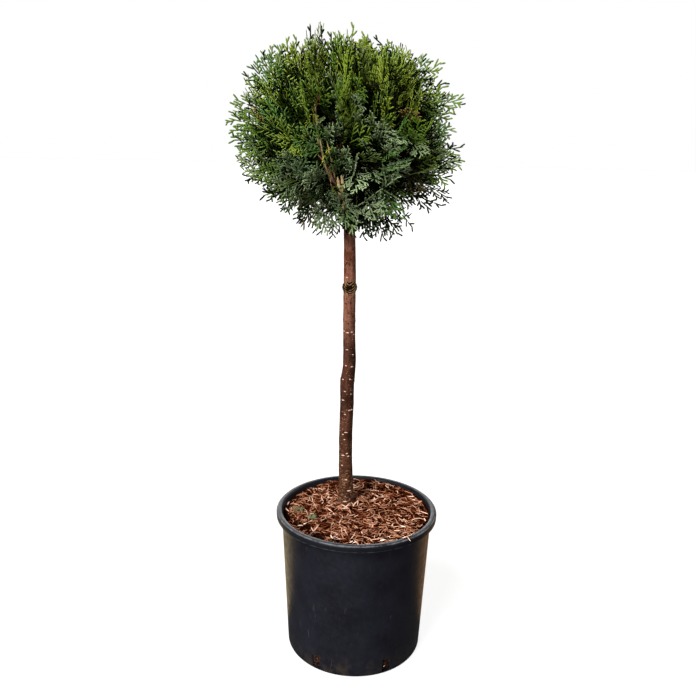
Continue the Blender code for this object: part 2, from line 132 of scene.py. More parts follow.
# Pale chips that the photograph shows on the mulch: how high both ends lie on it;
# and the pixels of both ends, the width and the shade of each.
CHIP_LIFTS = (0.0046, 0.0052)
SHOWN_CHIPS = (
    ((298, 525.5), (303, 525.3), 0.0034, "white"), ((303.3, 524), (306.5, 523), 0.0032, "white"),
    ((330.5, 535), (332.6, 538.6), 0.0030, "white"),
    ((287.3, 504.5), (289.2, 501.5), 0.0030, "pink"),
    ((285.4, 508), (289, 511.5), 0.0030, "pink"), ((314, 531), (319, 524.6), 0.0026, "pink"),
    ((307.5, 535.6), (316, 531), 0.0020, "twig"), ((400, 525.6), (406, 527), 0.0034, "white"),
    ((394, 530.6), (400.5, 530.4), 0.0034, "pink"),
    ((380, 540.6), (385.5, 539.6), 0.0050, "white"), ((424, 518), (425.6, 521), 0.0034, "pink"),
    ((420, 511), (428, 514), 0.0028, "pink"), ((418, 502.4), (422, 501), 0.0060, "tan"),
    ((408, 496), (414, 496.6), 0.0036, "pink"), ((412, 499.4), (415.5, 499.6), 0.0030, "pink"),
    ((349.6, 542.6), (353, 540.8), 0.0034, "white"),
    ((352.6, 543.2), (357, 541), 0.0030, "white"), ((341, 503.6), (349, 506.4), 0.0028, "pink"),
    ((344, 506.6), (350, 502.6), 0.0024, "pink"), ((349, 506), (351, 513.6), 0.0026, "tan"),
    ((338, 505.2), (342.6, 509.6), 0.0026, "tan"),
    ((326.6, 507.6), (332.4, 511.6), 0.0026, "pink"),
    ((329, 505.2), (335.6, 507.4), 0.0024, "tan"), ((353, 504.4), (357, 501), 0.0024, "pink"),
    ((393, 534), (404, 537.6), 0.0024, "tan"),
)
# The strand that hangs over the rim on the right, with its side branch: its height above the rim,
# its radii at both ends and the pixels along each branch.
STRAND_LIFT = 0.0010
STRAND_RADII = (0.0009, 0.0006)
STRANDS = (
    ((403, 538), (407, 536.4), (411, 535), (414.5, 532.6)),
    ((407, 536.4), (408.6, 538.4), (410.4, 541)),
)
# Pale green tufts in the mulch: the pixel of each, its radius and its colour.
TUFTS = (((312, 518.6), 0.0125, (0.130, 0.160, 0.070)), ((299, 510.5), 0.0160, (0.150, 0.130, 0.055)))
TUFT_BLADES = 44
TUFT_LIFT = 0.003
TUFT_RADIUS = 0.0012

# Trunk, as in the source: height, x, y and radius where the stem turns or its girth changes.
TRUNK_BASE = SOIL_TOP + GAP
TRUNK_LINE = (
    (TRUNK_BASE, -0.0222, 0.0400, 0.0225),
    (0.2970, -0.0222, 0.0400, 0.0205),
    (0.3120, -0.0226, 0.0400, 0.0174),
    (0.3400, -0.0234, 0.0402, 0.0156),
    (0.4000, -0.0252, 0.0406, 0.0144),
    (0.4600, -0.0260, 0.0400, 0.0141),
    (0.5380, -0.0247, 0.0392, 0.0144),
    (0.5780, -0.0250, 0.0394, 0.0146),
    (0.6170, -0.0213, 0.0402, 0.0135),
    (0.6800, -0.0228, 0.0404, 0.0127),
    (0.7500, -0.0237, 0.0398, 0.0126),
    (0.8100, -0.0241, 0.0398, 0.0124),
    (0.8800, -0.0260, 0.0402, 0.0117),
    (0.9600, -0.0298, 0.0404, 0.0106),
    (1.0300, -0.0338, 0.0400, 0.0082),
    (1.1000, -0.0366, 0.0400, 0.0052),
)
# Old whorls: height, how far each stands out and half its width;
# and the large knot, which has folds of its own.
WHORLS = ((0.5850, 0.0006, 0.007), (0.7130, 0.0005, 0.005))
KNOT = 0.7810
TRUNK_RINGS = (*WHORLS, (KNOT, 0.0031, 0.009))
TRUNK_SIDES = 84
TRUNK_ROW = 0.0012
KNOT_HALF = 0.0125
KNOT_FOLD = 0.0054
KNOT_DEPTH = 0.0020
KNOT_SLANT = 0.0085
KNOT_LOWER = 0.0040
KNOT_WAVE = 0.0030
# The pit in the knot's front: how far round and along it reaches, its height above the knot and its depth.
PIT_TURN = 0.38
PIT_HALF = 0.0034
PIT_ABOVE = 0.0015
PIT_DEPTH = 0.0010
# Painted shade: the bark is drawn dark where it lies deeper than this; painted highlight: it is drawn pale in
# the knot where it stands higher.
PAINTED_SHADE_BELOW = -0.00065
PAINTED_HIGHLIGHT_ABOVE = -0.00030
# The bark's lumps, strips and grain: the depth of each, and how often it changes round the stem and along it.
BARK_GRAIN = ((0.00034, 2.0, 48.0), (0.00026, 8.0, 34.0), (0.00014, 19.0, 150.0))
# The bark gets rougher towards the foot: by which share, below which height and over which length.
FOOT_ROUGHNESS = (0.8, 0.52, 0.2)
WHORL_WRINKLE = 0.0008
# Pores scattered over the bark: how many, from which height and over which length of stem;
# half their lengths, their radii, how crooked they lie and how far they stand out.
LENTICELS = 420
LENTICEL_START = 0.305
LENTICEL_SPAN = 0.56
LENTICEL_HALVES = (0.0008, 0.0020)
LENTICEL_RADII = (0.00028, 0.00048)
LENTICEL_WAVE = 0.0003
LENTICEL_LIFT = 0.00012

# Pale pores that the photograph shows on the stem: their radii, how much longer they are built than
# they look, and the pixel of each with half its length.
SHOWN_PORE_RADII = (0.0007, 0.0009)
SHOWN_PORE_STRETCH = 1.25
SHOWN_LENTICELS = (
    ((347, 349), 0.0022), ((353, 354), 0.0016), ((346, 365), 0.0016), ((352, 366), 0.0024),
    ((343, 378.5), 0.0018), ((350, 378), 0.0014), ((345, 390), 0.0018), ((351, 393), 0.0016),
    ((343, 399), 0.0028), ((349.5, 409), 0.0026), ((352, 409), 0.0018), ((345, 413), 0.0016),
    ((346, 431), 0.0032), ((343, 433), 0.0018), ((344.5, 438), 0.0016), ((343, 454), 0.0028),
    ((347, 452), 0.0020), ((348.5, 455), 0.0024), ((344, 331), 0.0018), ((347.5, 332), 0.0030),
    ((352, 331.5), 0.0020), ((354, 334), 0.0020), ((347, 277), 0.0022), ((342, 464), 0.0022),
    ((346, 478), 0.0024), ((349, 489), 0.0040), ((345, 499), 0.0036),
)

# Crown, as in the source.
CROWN_CENTRE = Vector((-0.037, 0.040, 1.085))
CROWN_REACH = Vector((0.224, 0.216, 0.203))
SWELLING = 0.07
SWELLING_SCALE = 1.9
LEADER_TIPS = (
    (-0.1080, 0.0250, 1.2850), (-0.0860, 0.0520, 1.2790), (-0.0200, 0.0300, 1.2820),
    (0.0620, 0.0600, 1.2490), (0.1400, 0.0500, 1.2120), (0.1920, 0.0150, 1.1510),
    (0.1910, 0.0450, 1.0370), (0.1560, 0.0200, 0.9450), (0.0330, 0.0200, 0.8750),
    (-0.0750, 0.0300, 0.8850), (-0.2000, 0.0300, 0.9600), (-0.2490, 0.0300, 1.0440),
    (-0.2640, 0.0300, 1.1020), (-0.2210, 0.0600, 1.2290), (-0.1450, 0.0300, 1.2540),
    (-0.0500, -0.1750, 1.1300), (0.0300, 0.2450, 1.1100),
)
TIERS = (
    ("top", 1, 90.0, 0.0, 1.100),
    ("upper", 5, 41.0, 58.0, 1.060),
    ("middle", 6, -1.0, 20.0, 1.016),
    ("lower", 4, -46.0, -8.0, 0.930),
)
TIER_SLOTS = {
    "top": "foliage_bright",
    "upper": "foliage_sunlit",
    "middle": "foliage_green",
    "lower": "foliage_grey_green",
}
TIER_STAGGER = 0.010
CORE_DISTANCE = 0.56
CORE_RADIUS = 0.044
CORE_SHARE = 0.45
BOUGH_RADIUS = 0.0046
BOUGH_TIP_RADIUS = 0.0032
BOUGH_ROWS = 34
BOUGH_SIDES = 20
BOUGH_COLLAR = 0.55
ENTRY = 0.014
TWIG_RINGS = ((4, math.radians(26.0)), (6, math.radians(52.0)), (5, math.radians(80.0)))
TWIG_DROOP = 0.16

# How far out the photograph shows the crown's bulk, as a share of its reach,
# every 15 degrees from +X towards +Z; and the share in front and behind.
OUTLINE_STEP = 15.0
OUTLINE_DEEP = 0.95
CROWN_OUTLINE = (
    (0.92, 0.86, 0.89, 0.93, 0.90, 0.88),
    (0.89, 0.94, 0.91, 0.99, 0.93, 0.95),
    (0.97, 0.92, 0.91, 0.92, 0.90, 0.96),
    (0.95, 1.00, 0.97, 0.88, 0.96, 0.98),
)

# Twigs and sprays, finer than in the source and within the same reach.
TWIG_REACH = 0.66
TWIG_RADII = (0.0021, 0.0009)
SIDE_TWIG_RADII = (0.0011, 0.0008)
PINNA_STEP = 0.0120
PINNA_SHARE = 0.42
PINNA_LEAST = 0.019
PINNA_ANGLE = math.radians(46.0)
FINGER_STEP = 0.0044
FINGER_LENGTH = 0.0240
FINGER_ANGLE = math.radians(34.0)
FINGER_WIDTH = 0.0035
FINGER_THICKNESS = 0.36
# Fingers get shorter towards the tip of their side branch, and are shorter on its upper side.
FINGER_TAPER = 0.48
UPPER_FINGER = 0.75
FINGER_LENGTH_JITTER = (0.85, 1.10)
FINGER_ANGLE_JITTER = (0.88, 1.12)
FINGER_WIDTH_JITTER = (0.85, 1.05)
# The side branches stand along the spray from one share of its length to another.
PINNA_SPAN = (0.10, 0.96)
PINNA_CURVE = 0.12
PINNA_ROOT = 0.009
PINNA_TURN_IN = 0.25
PINNA_LENGTH_JITTER = (0.75, 1.15)
PINNA_ANGLE_JITTER = (0.90, 1.10)
PINNA_STEP_JITTER = (0.85, 1.2)
SPRAY_JOINTS = (0.0, 0.36, 0.70, 1.0)
FORK = Vector((-0.034, 0.040, 0.975))
LOW_DROOP = 0.40
GROWTH_STRAY = 0.55
GROWTH_STRAY_SCALE = 2.1
GROWTH_JITTER = 0.13
NOISE_SEED = 5
ROOT_REACH = 0.80
CLUMP = 0.05
CLUMP_SCALE = 3.6
SCATTER = 0.55
DRAW_STEP = 0.15
# How much a spray lies flat or upright: by noise, by chance, and by where it is in the crown.
LIE_NOISE = 1.3
LIE_SCALE = 2.4
LIE_JITTER = 0.28
LIE_UPPER = 0.22
LIE_LOWER = -0.30
UNDERSIDE = -0.25
BEND = 0.22
SHOWN_BEND = 0.04
SPRAY_CLEARANCE = 0.004
# How much of a spray from its root takes the older part's dark shade, which is partly painted shade.
OLD_SHARE = (0.46, 0.66)
SHOWN_OLD_SHARE = 0.30
SHOWN_LOOSE = 0.3
SHOWN_COMB = 0.050
SHOWN_COMB_STEP = 1.25
LEAN = 0.16
DARK_FINGERS = 0.14
PLANS_PER_KIND = 14
SHOWN_SIDES = 4
# The zones in the light from the top down, each with the level of its lower end in shares of the crown's
# reach, how much these ends blur, and what grows below them, with shares; the dark ones there are painted
# shade.
ZONE_LEVELS = (("bright", 0.42), ("green", -0.20), ("blue", -0.50))
ZONE_BLUR = 0.14
LOW_ZONES = (("grey", "blue", "dark"), (0.36, 0.14, 0.50))

# Sprays that the photograph shows: the pixels of root and tip, the depth of the tip,
# the zone of its colours and how broad it is.
Shown = namedtuple("Shown", "root tip depth zone slim")
SHOWN_FRINGE = (
    ((313, 78), (310, 23), 0.00, "dark", 0.15), ((323, 76), (321, 24), 0.00, "dark", 0.15),
    ((332, 76), (331, 31), -0.02, "bright", 0.60), ((316, 84), (314, 40), -0.04, "green", 0.50),
    ((340, 80), (338, 36), -0.02, "bright", 0.60), ((297, 80), (296, 36), 0.00, "bright", 0.40),
    ((293, 80), (286, 37), 0.01, "bright", 0.60), ((290, 86), (277, 44), 0.00, "green", 0.70),
    ((286, 88), (268, 48), 0.00, "green", 0.95), ((284, 92), (261, 55), 0.00, "green", 0.95),
    ((346, 74), (354, 24), 0.00, "bright", 0.45), ((366, 76), (364, 34), 0.01, "bright", 0.45),
    ((366, 84), (386, 46), 0.00, "bright", 0.70), ((406, 66), (373, 36), 0.03, "dark", 0.20),
    ((386, 92), (406, 54), 0.00, "green", 0.90), ((396, 92), (430, 58), 0.00, "green", 0.80),
    ((398, 98), (441, 62), 0.00, "green", 0.70), ((404, 100), (447, 82), 0.01, "dark", 0.45),
    ((410, 112), (444, 86), -0.03, "green", 0.70), ((404, 116), (466, 98), 0.00, "green", 0.70),
    ((408, 126), (452, 112), 0.00, "green", 0.75), ((412, 138), (456, 128), 0.00, "green", 0.80),
    ((410, 158), (464, 147), 0.00, "dark", 0.60), ((408, 150), (462, 166), -0.02, "green", 0.85),
    ((418, 170), (452, 180), -0.04, "green", 0.90), ((412, 166), (440, 156), -0.08, "green", 0.80),
    ((410, 166), (440, 182), 0.00, "dark", 0.60), ((392, 182), (409, 206), -0.06, "dark", 0.80),
    ((404, 172), (449, 199), 0.00, "dark", 0.75), ((412, 194), (443, 206), -0.03, "dark", 0.40),
    ((392, 176), (432, 211), 0.00, "dark", 0.65), ((396, 160), (424, 192), -0.05, "rusty", 0.90),
    ((326, 190), (300, 228), -0.01, "rusty", 0.70), ((322, 184), (296, 206), -0.05, "rusty", 0.90),
    ((322, 182), (283, 211), -0.03, "dark", 0.80), ((322, 190), (304, 222), -0.05, "dark", 0.80),
    ((328, 196), (316, 232), -0.05, "dark", 0.70), ((318, 192), (296, 219), -0.04, "dark", 0.50),
    ((318, 180), (262, 196), -0.04, "blue", 0.85), ((304, 166), (246, 177), 0.00, "dark", 0.75),
    ((292, 158), (238, 163), 0.00, "dark", 0.50), ((284, 138), (232, 140), 0.00, "green", 0.90),
    ((284, 142), (238, 153), -0.02, "green", 0.70), ((278, 130), (228, 118), 0.00, "green", 0.90),
    ((262, 132), (229, 130), -0.03, "green", 0.70), ((274, 114), (234, 99), 0.00, "green", 0.85),
    ((280, 100), (250, 64), 0.00, "green", 0.90), ((276, 92), (241, 73), 0.01, "dark", 0.50),
)
SHOWN_LOW_RIGHT = (
    ((348, 209), (400, 176), -0.15, "pale", 0.10), ((358, 204), (370, 219), -0.14, "pale", 0.60),
    ((367, 199), (376, 220), -0.14, "grey", 0.70), ((376, 193), (386, 213), -0.14, "pale", 0.75),
    ((384, 187), (397, 198), -0.14, "pale", 0.60), ((385, 192), (401, 221), -0.13, "green", 0.70),
    ((397, 208), (413, 228), -0.08, "dark", 0.60), ((386, 186), (390, 174), -0.14, "pale", 0.50),
    ((388, 184), (394, 168), -0.12, "blue", 0.90), ((390, 173), (410, 164), -0.12, "grey", 0.80),
    ((353, 169), (357, 193), -0.15, "pale", 1.10), ((366, 163), (375, 182), -0.14, "grey", 0.75),
    ((385, 164), (386, 182), -0.14, "grey", 0.70), ((360, 172), (345, 170), -0.14, "grey", 0.35),
    ((348, 198), (353, 236), -0.11, "grey", 0.60), ((344, 212), (341, 191), -0.13, "blue", 0.90),
    ((342, 196), (346, 230), -0.11, "blue", 0.70), ((361, 214), (364, 238), -0.05, "dark", 0.90),
    ((350, 196), (362, 226), -0.04, "dark", 0.90), ((360, 196), (375, 229), -0.04, "dark", 0.90),
    ((346, 196), (351, 232), -0.04, "dark", 0.80), ((364, 206), (368, 236), -0.07, "dark", 0.70),
    ((377, 216), (370, 238), -0.04, "dark", 0.50), ((376, 210), (384, 239), -0.04, "dark", 0.90),
    ((380, 206), (398, 235), -0.04, "dark", 0.85), ((384, 214), (392, 238), -0.05, "dark", 0.70),
)
SHOWN_LOW_LEFT = (
    ((314, 178), (282, 165), -0.13, "blue", 0.55), ((297, 176), (307, 159), -0.14, "grey", 0.90),
    ((290, 174), (283, 158), -0.13, "blue", 0.90), ((330, 177), (303, 181), -0.14, "pale", 0.90),
    ((322, 178), (315, 168), -0.14, "grey", 0.60), ((282, 167), (256, 178), -0.10, "green", 0.80),
    ((300, 181), (268, 188), -0.10, "blue", 0.95), ((299, 184), (281, 206), -0.09, "blue", 0.95),
    ((302, 186), (292, 202), -0.09, "blue", 0.90), ((334, 199), (312, 207), -0.11, "grey", 1.00),
    ((332, 203), (313, 226), -0.10, "grey", 0.85), ((330, 204), (321, 236), -0.09, "blue", 0.80),
    ((334, 206), (330, 228), -0.08, "blue", 0.90), ((332, 218), (335, 238), -0.03, "dark", 1.10),
    ((338, 204), (340, 234), -0.05, "rusty", 0.60), ((303, 139), (286, 148), -0.14, "bright", 1.00),
    ((306, 160), (308, 146), -0.14, "grey", 0.60),
)
SHOWN_MIDDLE = (
    ((407, 148), (421, 119), -0.14, "bright", 0.95), ((411, 139), (389, 139), -0.16, "pale", 0.75),
    ((410, 140), (423, 156), -0.14, "grey", 0.90), ((386, 137), (390, 97), -0.15, "bright", 0.45),
    ((380, 158), (362, 139), -0.16, "pale", 0.50), ((384, 158), (399, 142), -0.16, "grey", 0.60),
    ((402, 106), (408, 84), -0.13, "bright", 1.00), ((350, 118), (362, 98), -0.16, "grey", 0.80),
    ((364, 134), (357, 113), -0.16, "grey", 0.60), ((376, 134), (373, 112), -0.16, "pale", 0.45),
    ((346, 128), (350, 106), -0.16, "bright", 0.60), ((350, 102), (339, 114), -0.17, "bright", 1.00),
    ((348, 112), (336, 120), -0.17, "grey", 0.60), ((328, 142), (334, 126), -0.17, "pale", 0.40),
    ((345, 166), (350, 148), -0.17, "pale", 0.45), ((344, 198), (337, 186), -0.15, "green", 0.50),
    ((340, 168), (330, 162), -0.16, "green", 0.60), ((338, 146), (328, 127), -0.15, "grey", 0.60),
    ((332, 134), (338, 122), -0.15, "pale", 0.60), ((345, 168), (341, 150), -0.14, "blue", 1.00),
    ((338, 108), (342, 87), -0.16, "bright", 0.90), ((352, 102), (363, 83), -0.16, "green", 0.90),
    ((378, 146), (385, 121), -0.17, "grey", 0.60), ((341, 178), (337, 160), -0.15, "grey", 0.60),
    ((351, 197), (354, 215), -0.14, "grey", 0.80), ((412, 144), (406, 127), -0.15, "green", 0.80),
    ((354, 178), (358, 157), -0.15, "grey", 0.60), ((321, 181), (313, 170), -0.15, "grey", 0.80),
    ((305, 181), (295, 166), -0.14, "grey", 0.60), ((310, 116), (302, 84), -0.16, "bright", 1.00),
    ((320, 114), (311, 107), -0.16, "green", 0.60), ((312, 127), (321, 122), -0.16, "green", 0.60),
    ((322, 146), (312, 144), -0.16, "blue", 0.60), ((316, 104), (327, 90), -0.16, "bright", 0.80),
    ((314, 126), (314, 114), -0.16, "yellow", 0.50), ((316, 131), (303, 134), -0.16, "ochre", 0.12),
    ((324, 158), (327, 150), -0.16, "yellow", 0.50), ((331, 168), (331, 152), -0.16, "green", 0.70),
    ((330, 140), (322, 124), -0.15, "green", 0.70), ((347, 152), (345, 122), -0.14, "dead", 0.22),
    ((350, 151), (338, 149), -0.14, "dead", 0.40), ((318, 116), (317, 100), -0.16, "dead", 0.60),
    ((410, 120), (412, 109), -0.15, "ochre", 0.70), ((264, 117), (253, 113), -0.12, "ochre", 0.60),
)
SHOWN_SPRAYS = [Shown(*row) for row in SHOWN_FRINGE + SHOWN_LOW_RIGHT + SHOWN_LOW_LEFT + SHOWN_MIDDLE]
# Dark hollows in the crown's front: the pixel of each, how far back it is, and its radius.
HOLLOWS = (
    ((345, 140), -0.14, 0.022), ((328, 172), -0.13, 0.030), ((318, 192), -0.11, 0.030),
    ((340, 184), -0.12, 0.032), ((307, 146), -0.14, 0.022), ((325, 112), -0.15, 0.018),
    ((346, 95), -0.15, 0.018), ((370, 118), -0.14, 0.017), ((360, 160), -0.14, 0.024),
    ((380, 168), -0.13, 0.028), ((394, 121), -0.15, 0.020), ((384, 196), -0.11, 0.026),
    ((414, 184), -0.10, 0.030), ((408, 102), -0.13, 0.018), ((285, 106), -0.13, 0.012),
    ((403, 171), -0.12, 0.018), ((396, 195), -0.11, 0.010), ((352, 182), -0.13, 0.030),
    ((368, 194), -0.12, 0.032), ((354, 210), -0.12, 0.016), ((382, 204), -0.12, 0.016),
    ((300, 172), -0.13, 0.022), ((290, 192), -0.10, 0.018), ((320, 212), -0.10, 0.018),
    ((366, 182), -0.13, 0.018), ((285, 72), -0.10, 0.018), ((425, 150), -0.08, 0.018),
    ((262, 132), -0.10, 0.016), ((279, 141), -0.12, 0.018),
)
# Where the photograph shows the sky through the fringe: a pixel and a radius in pixels.
SKY_GAPS = (
    ((305, 42), 5), ((356, 50), 5), ((341, 40), 5), ((395, 58), 5), ((436, 113), 6), ((431, 177), 4),
    ((284, 176), 4), ((308, 213), 4), ((326, 231), 4), ((401, 226), 5), ((309, 52), 4), ((387, 221), 3),
)

# Bare limbs that show between the sprays.
LIMB_ROWS = 60
LIMB_SIDES = 16
LIMB_CROOK = 0.006
LIMB_LUMPS = 0.45
LIMB_COLOURS = {
    "brown": (0.170, 0.075, 0.045),
    "olive": (0.185, 0.175, 0.060),
    "tan": (0.270, 0.190, 0.095),
    "cut": (0.440, 0.330, 0.150),
}
# The height at which each leaves the trunk, the pixel and the depth of its tip, the way it points there,
# its radii at both ends and its bark.
Limb = namedtuple("Limb", "leaves_at tip depth heading radii bark")
SHOWN_LIMBS = (
    Limb(0.935, (337.5, 177), -0.112, (-0.2, -0.1, 1.0), (0.0016, 0.0034), "cut"),
    Limb(0.937, (341.5, 175), -0.114, (-0.1, -0.1, 1.0), (0.0014, 0.0030), "cut"),
    Limb(0.936, (343.5, 181), -0.110, (0.0, -0.1, 1.0), (0.0014, 0.0026), "cut"),
    Limb(0.925, (315, 104), -0.128, (-0.1, 0.0, 1.0), (0.0034, 0.0026), "olive"),
    Limb(0.930, (320, 139), -0.132, (-0.2, 0.0, 1.0), (0.0026, 0.0013), "tan"),
    Limb(0.935, (327, 141), -0.130, (-0.2, 0.0, 1.0), (0.0024, 0.0012), "tan"),
    Limb(0.950, (318, 155), -0.118, (-0.7, 0.0, 0.7), (0.0034, 0.0016), "brown"),
    Limb(0.940, (324, 160), -0.120, (-0.5, 0.0, 0.9), (0.0032, 0.0014), "brown"),
)

# A mass of foliage: its core, the core's radius and the height at which its bough leaves the trunk.
Mass = namedtuple("Mass", "name tier core radius leaves_at")
# A blade of a spray: both ends in the spray's plane, its width as a share of a finger's,
# and whether it has the tips' shade.
Blade = namedtuple("Blade", "start end width tip")
# Sprays whose tips lie in one layer of the crown: how many, how far out, how long, how widely their
# branches are spaced, the shape of their blades, and the zone of painted shade that those inside take.
Shell = namedtuple("Shell", "name sprays reach lengths step sides rings zone")
SHELLS = (
    Shell("outer", 225, (0.90, 1.00), (0.105, 0.155), 1.0, 3, ((0.18, 0.85), (0.82, 0.95)), None),
    Shell("middle", 250, (0.76, 0.88), (0.095, 0.130), 1.0, 3, ((0.60, 1.0),), "deep"),
    Shell("inner", 260, (0.50, 0.72), (0.070, 0.100), 1.4, 3, ((0.60, 1.0),), "shade"),
)


# ---- Materials ----


class Surface:
    """A material in the making: its shader, and the nodes that feed it from a place in metres."""

    def __init__(self, name, colour, roughness, specular):
        self.made = bpy.data.materials.new(name)
        self.made.use_nodes = True
        self.tree = self.made.node_tree
        self.shader = self.tree.nodes["Principled BSDF"]
        self.shader.inputs["Base Color"].default_value = (*colour, 1.0)
        self.shader.inputs["Roughness"].default_value = roughness
        self.shader.inputs["Specular IOR Level"].default_value = specular
        self.place = self.tree.nodes.new("ShaderNodeTexCoord").outputs["Object"]

    def node(self, kind, links, values=None, **settings):
        """A new node: links into some of its inputs, plain values on others, and its settings."""
        made = self.tree.nodes.new(f"ShaderNode{kind}")
        for name, value in settings.items():
            setattr(made, name, value)
        for name, value in (values or {}).items():
            made.inputs[name].default_value = value
        for name, source in links.items():
            self.tree.links.new(source, made.inputs[name])
        return made

    def stretched(self, stretch):
        """The place, scaled along each axis."""
        return self.node("Mapping", {"Vector": self.place}, {"Scale": stretch}).outputs["Vector"]

    def noise(self, scale, detail=3.0, stretch=(1.0, 1.0, 1.0)):
        """Soft noise over the place."""
        values = {"Scale": scale, "Detail": detail}
        return self.node("TexNoise", {"Vector": self.stretched(stretch)}, values).outputs["Fac"]

    def cells(self, scale):
        """The distance from the middles of scattered cells."""
        return self.node("TexVoronoi", {"Vector": self.place}, {"Scale": scale}).outputs["Distance"]

    def ramped(self, source, low, high):
        """The source, stretched so that low gives 0 and high gives 1."""
        return self.node("MapRange", {"Value": source}, {"From Min": low, "From Max": high}).outputs["Result"]

    def height(self, low, high):
        """How far up the surface is between two heights, from 0 to 1."""
        return self.ramped(self.node("SeparateXYZ", {"Vector": self.place}).outputs["Z"], low, high)

    def away(self, low, high):
        """How far the surface is from the z axis, between two radii, from 0 to 1."""
        long = self.node("VectorMath", {"Vector": self.stretched((1.0, 1.0, 0.0))}, operation="LENGTH")
        return self.ramped(long.outputs["Value"], low, high)

    def times(self, *factors):
        """The product of several sources."""
        product = factors[0]
        for factor in factors[1:]:
            product = self.node("Math", {0: product, 1: factor}, operation="MULTIPLY").outputs["Value"]
        return product

    def mixed(self, share, first, second):
        """A colour between two, each a plain colour or another mix."""
        made = self.node("Mix", {"Factor": share}, data_type="RGBA")
        for name, value in (("A", first), ("B", second)):
            socket = next(s for s in made.inputs if s.name == name and s.type == "RGBA")
            if isinstance(value, tuple):
                socket.default_value = (*value, 1.0)
            else:
                self.tree.links.new(value, socket)
        return next(s for s in made.outputs if s.type == "RGBA")

    def paint(self, colour):
        """Feeds the shader's colour."""
        self.tree.links.new(colour, self.shader.inputs["Base Color"])

    def polish(self, source, low, high):
        """Roughness from low to high as the source goes from 0 to 1."""
        made = self.node("MapRange", {"Value": source}, {"To Min": low, "To Max": high})
        self.tree.links.new(made.outputs["Result"], self.shader.inputs["Roughness"])

    def relief(self, *layers):
        """Bump from layers of (height, strength, distance), one on another. Gives the finished material."""
        links = {}
        for source, strength, distance in layers:
            values = {"Strength": strength, "Distance": distance}
            made = self.node("Bump", {"Height": source, **links}, values)
            links = {"Normal": made.outputs["Normal"]}
        self.tree.links.new(links["Normal"], self.shader.inputs["Normal"])
        return self.made


def leaf_surface(name, colour, sheen):
    """Foliage: small scales along each finger and a soft sheen."""
    made = Surface(name, colour, 0.42, sheen)
    return made.relief((made.cells(620.0), 0.5, 0.0006), (made.noise(240.0), 0.3, 0.0008))


def fibre_surface(name, colour):
    """Shredded bark: fine strands and pits."""
    made = Surface(name, colour, 0.86, 0.0)
    return made.relief((made.noise(900.0, 4.0), 0.7, 0.0006), (made.noise(260.0), 0.5, 0.0010))


def pitted_surface(name, colour, roughness, grain=500.0, pits=400.0):
    """Dead wood or bark of one colour, with a fine grain and small pits."""
    made = Surface(name, colour, roughness, 0.0)
    return made.relief((made.noise(grain, 4.0), 0.6, 0.0006), (made.cells(pits), 0.3, 0.0005))


def limb_surface(name, colour):
    """A bare limb in the crown, with darker spots."""
    made = Surface(name, colour, 0.75, 0.2)
    spots = made.ramped(made.noise(260.0, 4.0), 0.35, 0.65)
    made.paint(made.mixed(spots, tuple(0.45 * c for c in colour), colour))
    return made.relief((made.noise(420.0, 4.0), 0.6, 0.0008), (made.cells(260.0), 0.3, 0.0006))


def bark_surface():
    """Reddish brown bark, streaked along the stem, flecked and more olive towards the foot, with painted
    light up the stem.
    """
    made = Surface("bark_streaked", (0.17, 0.075, 0.05), 0.62, 0.06)
    streaks = made.ramped(made.noise(210.0, 5.0, (1.0, 1.0, 0.10)), 0.34, 0.68)
    patches = made.ramped(made.noise(42.0, 4.0, (1.0, 1.0, 0.55)), 0.36, 0.66)
    flecks = made.ramped(made.noise(420.0, 3.0, (1.0, 1.0, 0.45)), 0.56, 0.66)
    pale = made.ramped(made.noise(330.0, 3.0, (0.7, 0.7, 1.5)), 0.58, 0.70)
    moss = made.times(made.height(0.56, 0.40), made.ramped(made.noise(150.0, 4.0), 0.50, 0.64))
    spots = made.ramped(made.noise(210.0, 2.0, (0.6, 0.6, 1.5)), 0.57, 0.62)
    mottle = made.times(made.height(0.46, 0.34), spots)
    # Painted light: the stem is drawn lighter towards the top, where the crown's shadow falls on it. The lit
    # streaks are partly the bark's own pale strips and partly painted highlight.
    upper = made.height(0.65, 0.87)
    low = made.mixed(patches, (0.018, 0.006, 0.003), (0.052, 0.018, 0.010))
    high = made.mixed(patches, (0.120, 0.037, 0.018), (0.270, 0.098, 0.058))
    lit = made.mixed(upper, (0.096, 0.037, 0.024), (0.420, 0.195, 0.138))
    colour = made.mixed(made.times(streaks, patches), made.mixed(upper, low, high), lit)
    colour = made.mixed(moss, colour, (0.030, 0.014, 0.005))
    colour = made.mixed(flecks, colour, (0.012, 0.005, 0.002))
    colour = made.mixed(mottle, colour, (0.150, 0.074, 0.035))
    colour = made.mixed(pale, colour, made.mixed(upper, (0.085, 0.038, 0.020), (0.270, 0.135, 0.090)))
    made.paint(colour)
    made.polish(patches, 0.72, 0.55)
    return made.relief(
        (made.noise(300.0, 5.0, (1.0, 1.0, 0.12)), 0.55, 0.0010),
        (made.noise(900.0, 3.0, (1.0, 1.0, 0.5)), 0.4, 0.0005),
    )


def soil_surface():
    """The compost behind the drainage slots: dark crumbs, partly their own colour and partly painted shade
    inside the pot.
    """
    made = Surface("soil_crumbs", (0.045, 0.028, 0.018), 0.95, 0.2)
    shares = made.ramped(made.noise(190.0, 5.0), 0.35, 0.7)
    made.paint(made.mixed(shares, (0.005, 0.003, 0.002), (0.034, 0.015, 0.010)))
    return made.relief((made.cells(320.0), 0.9, 0.0020), (made.noise(700.0, 4.0), 0.6, 0.0010))


def mulch_bed_surface():
    """What shows between the fibres: dark, partly its own colour and partly painted shade, fine and rough."""
    made = Surface("mulch_bed", (0.07, 0.028, 0.016), 0.95, 0.0)
    grains = made.ramped(made.noise(420.0, 5.0), 0.38, 0.68)
    made.paint(made.mixed(grains, (0.003, 0.001, 0.001), (0.034, 0.009, 0.004)))
    return made.relief((made.noise(260.0, 5.0), 0.9, 0.0025), (made.cells(520.0), 0.6, 0.0012))


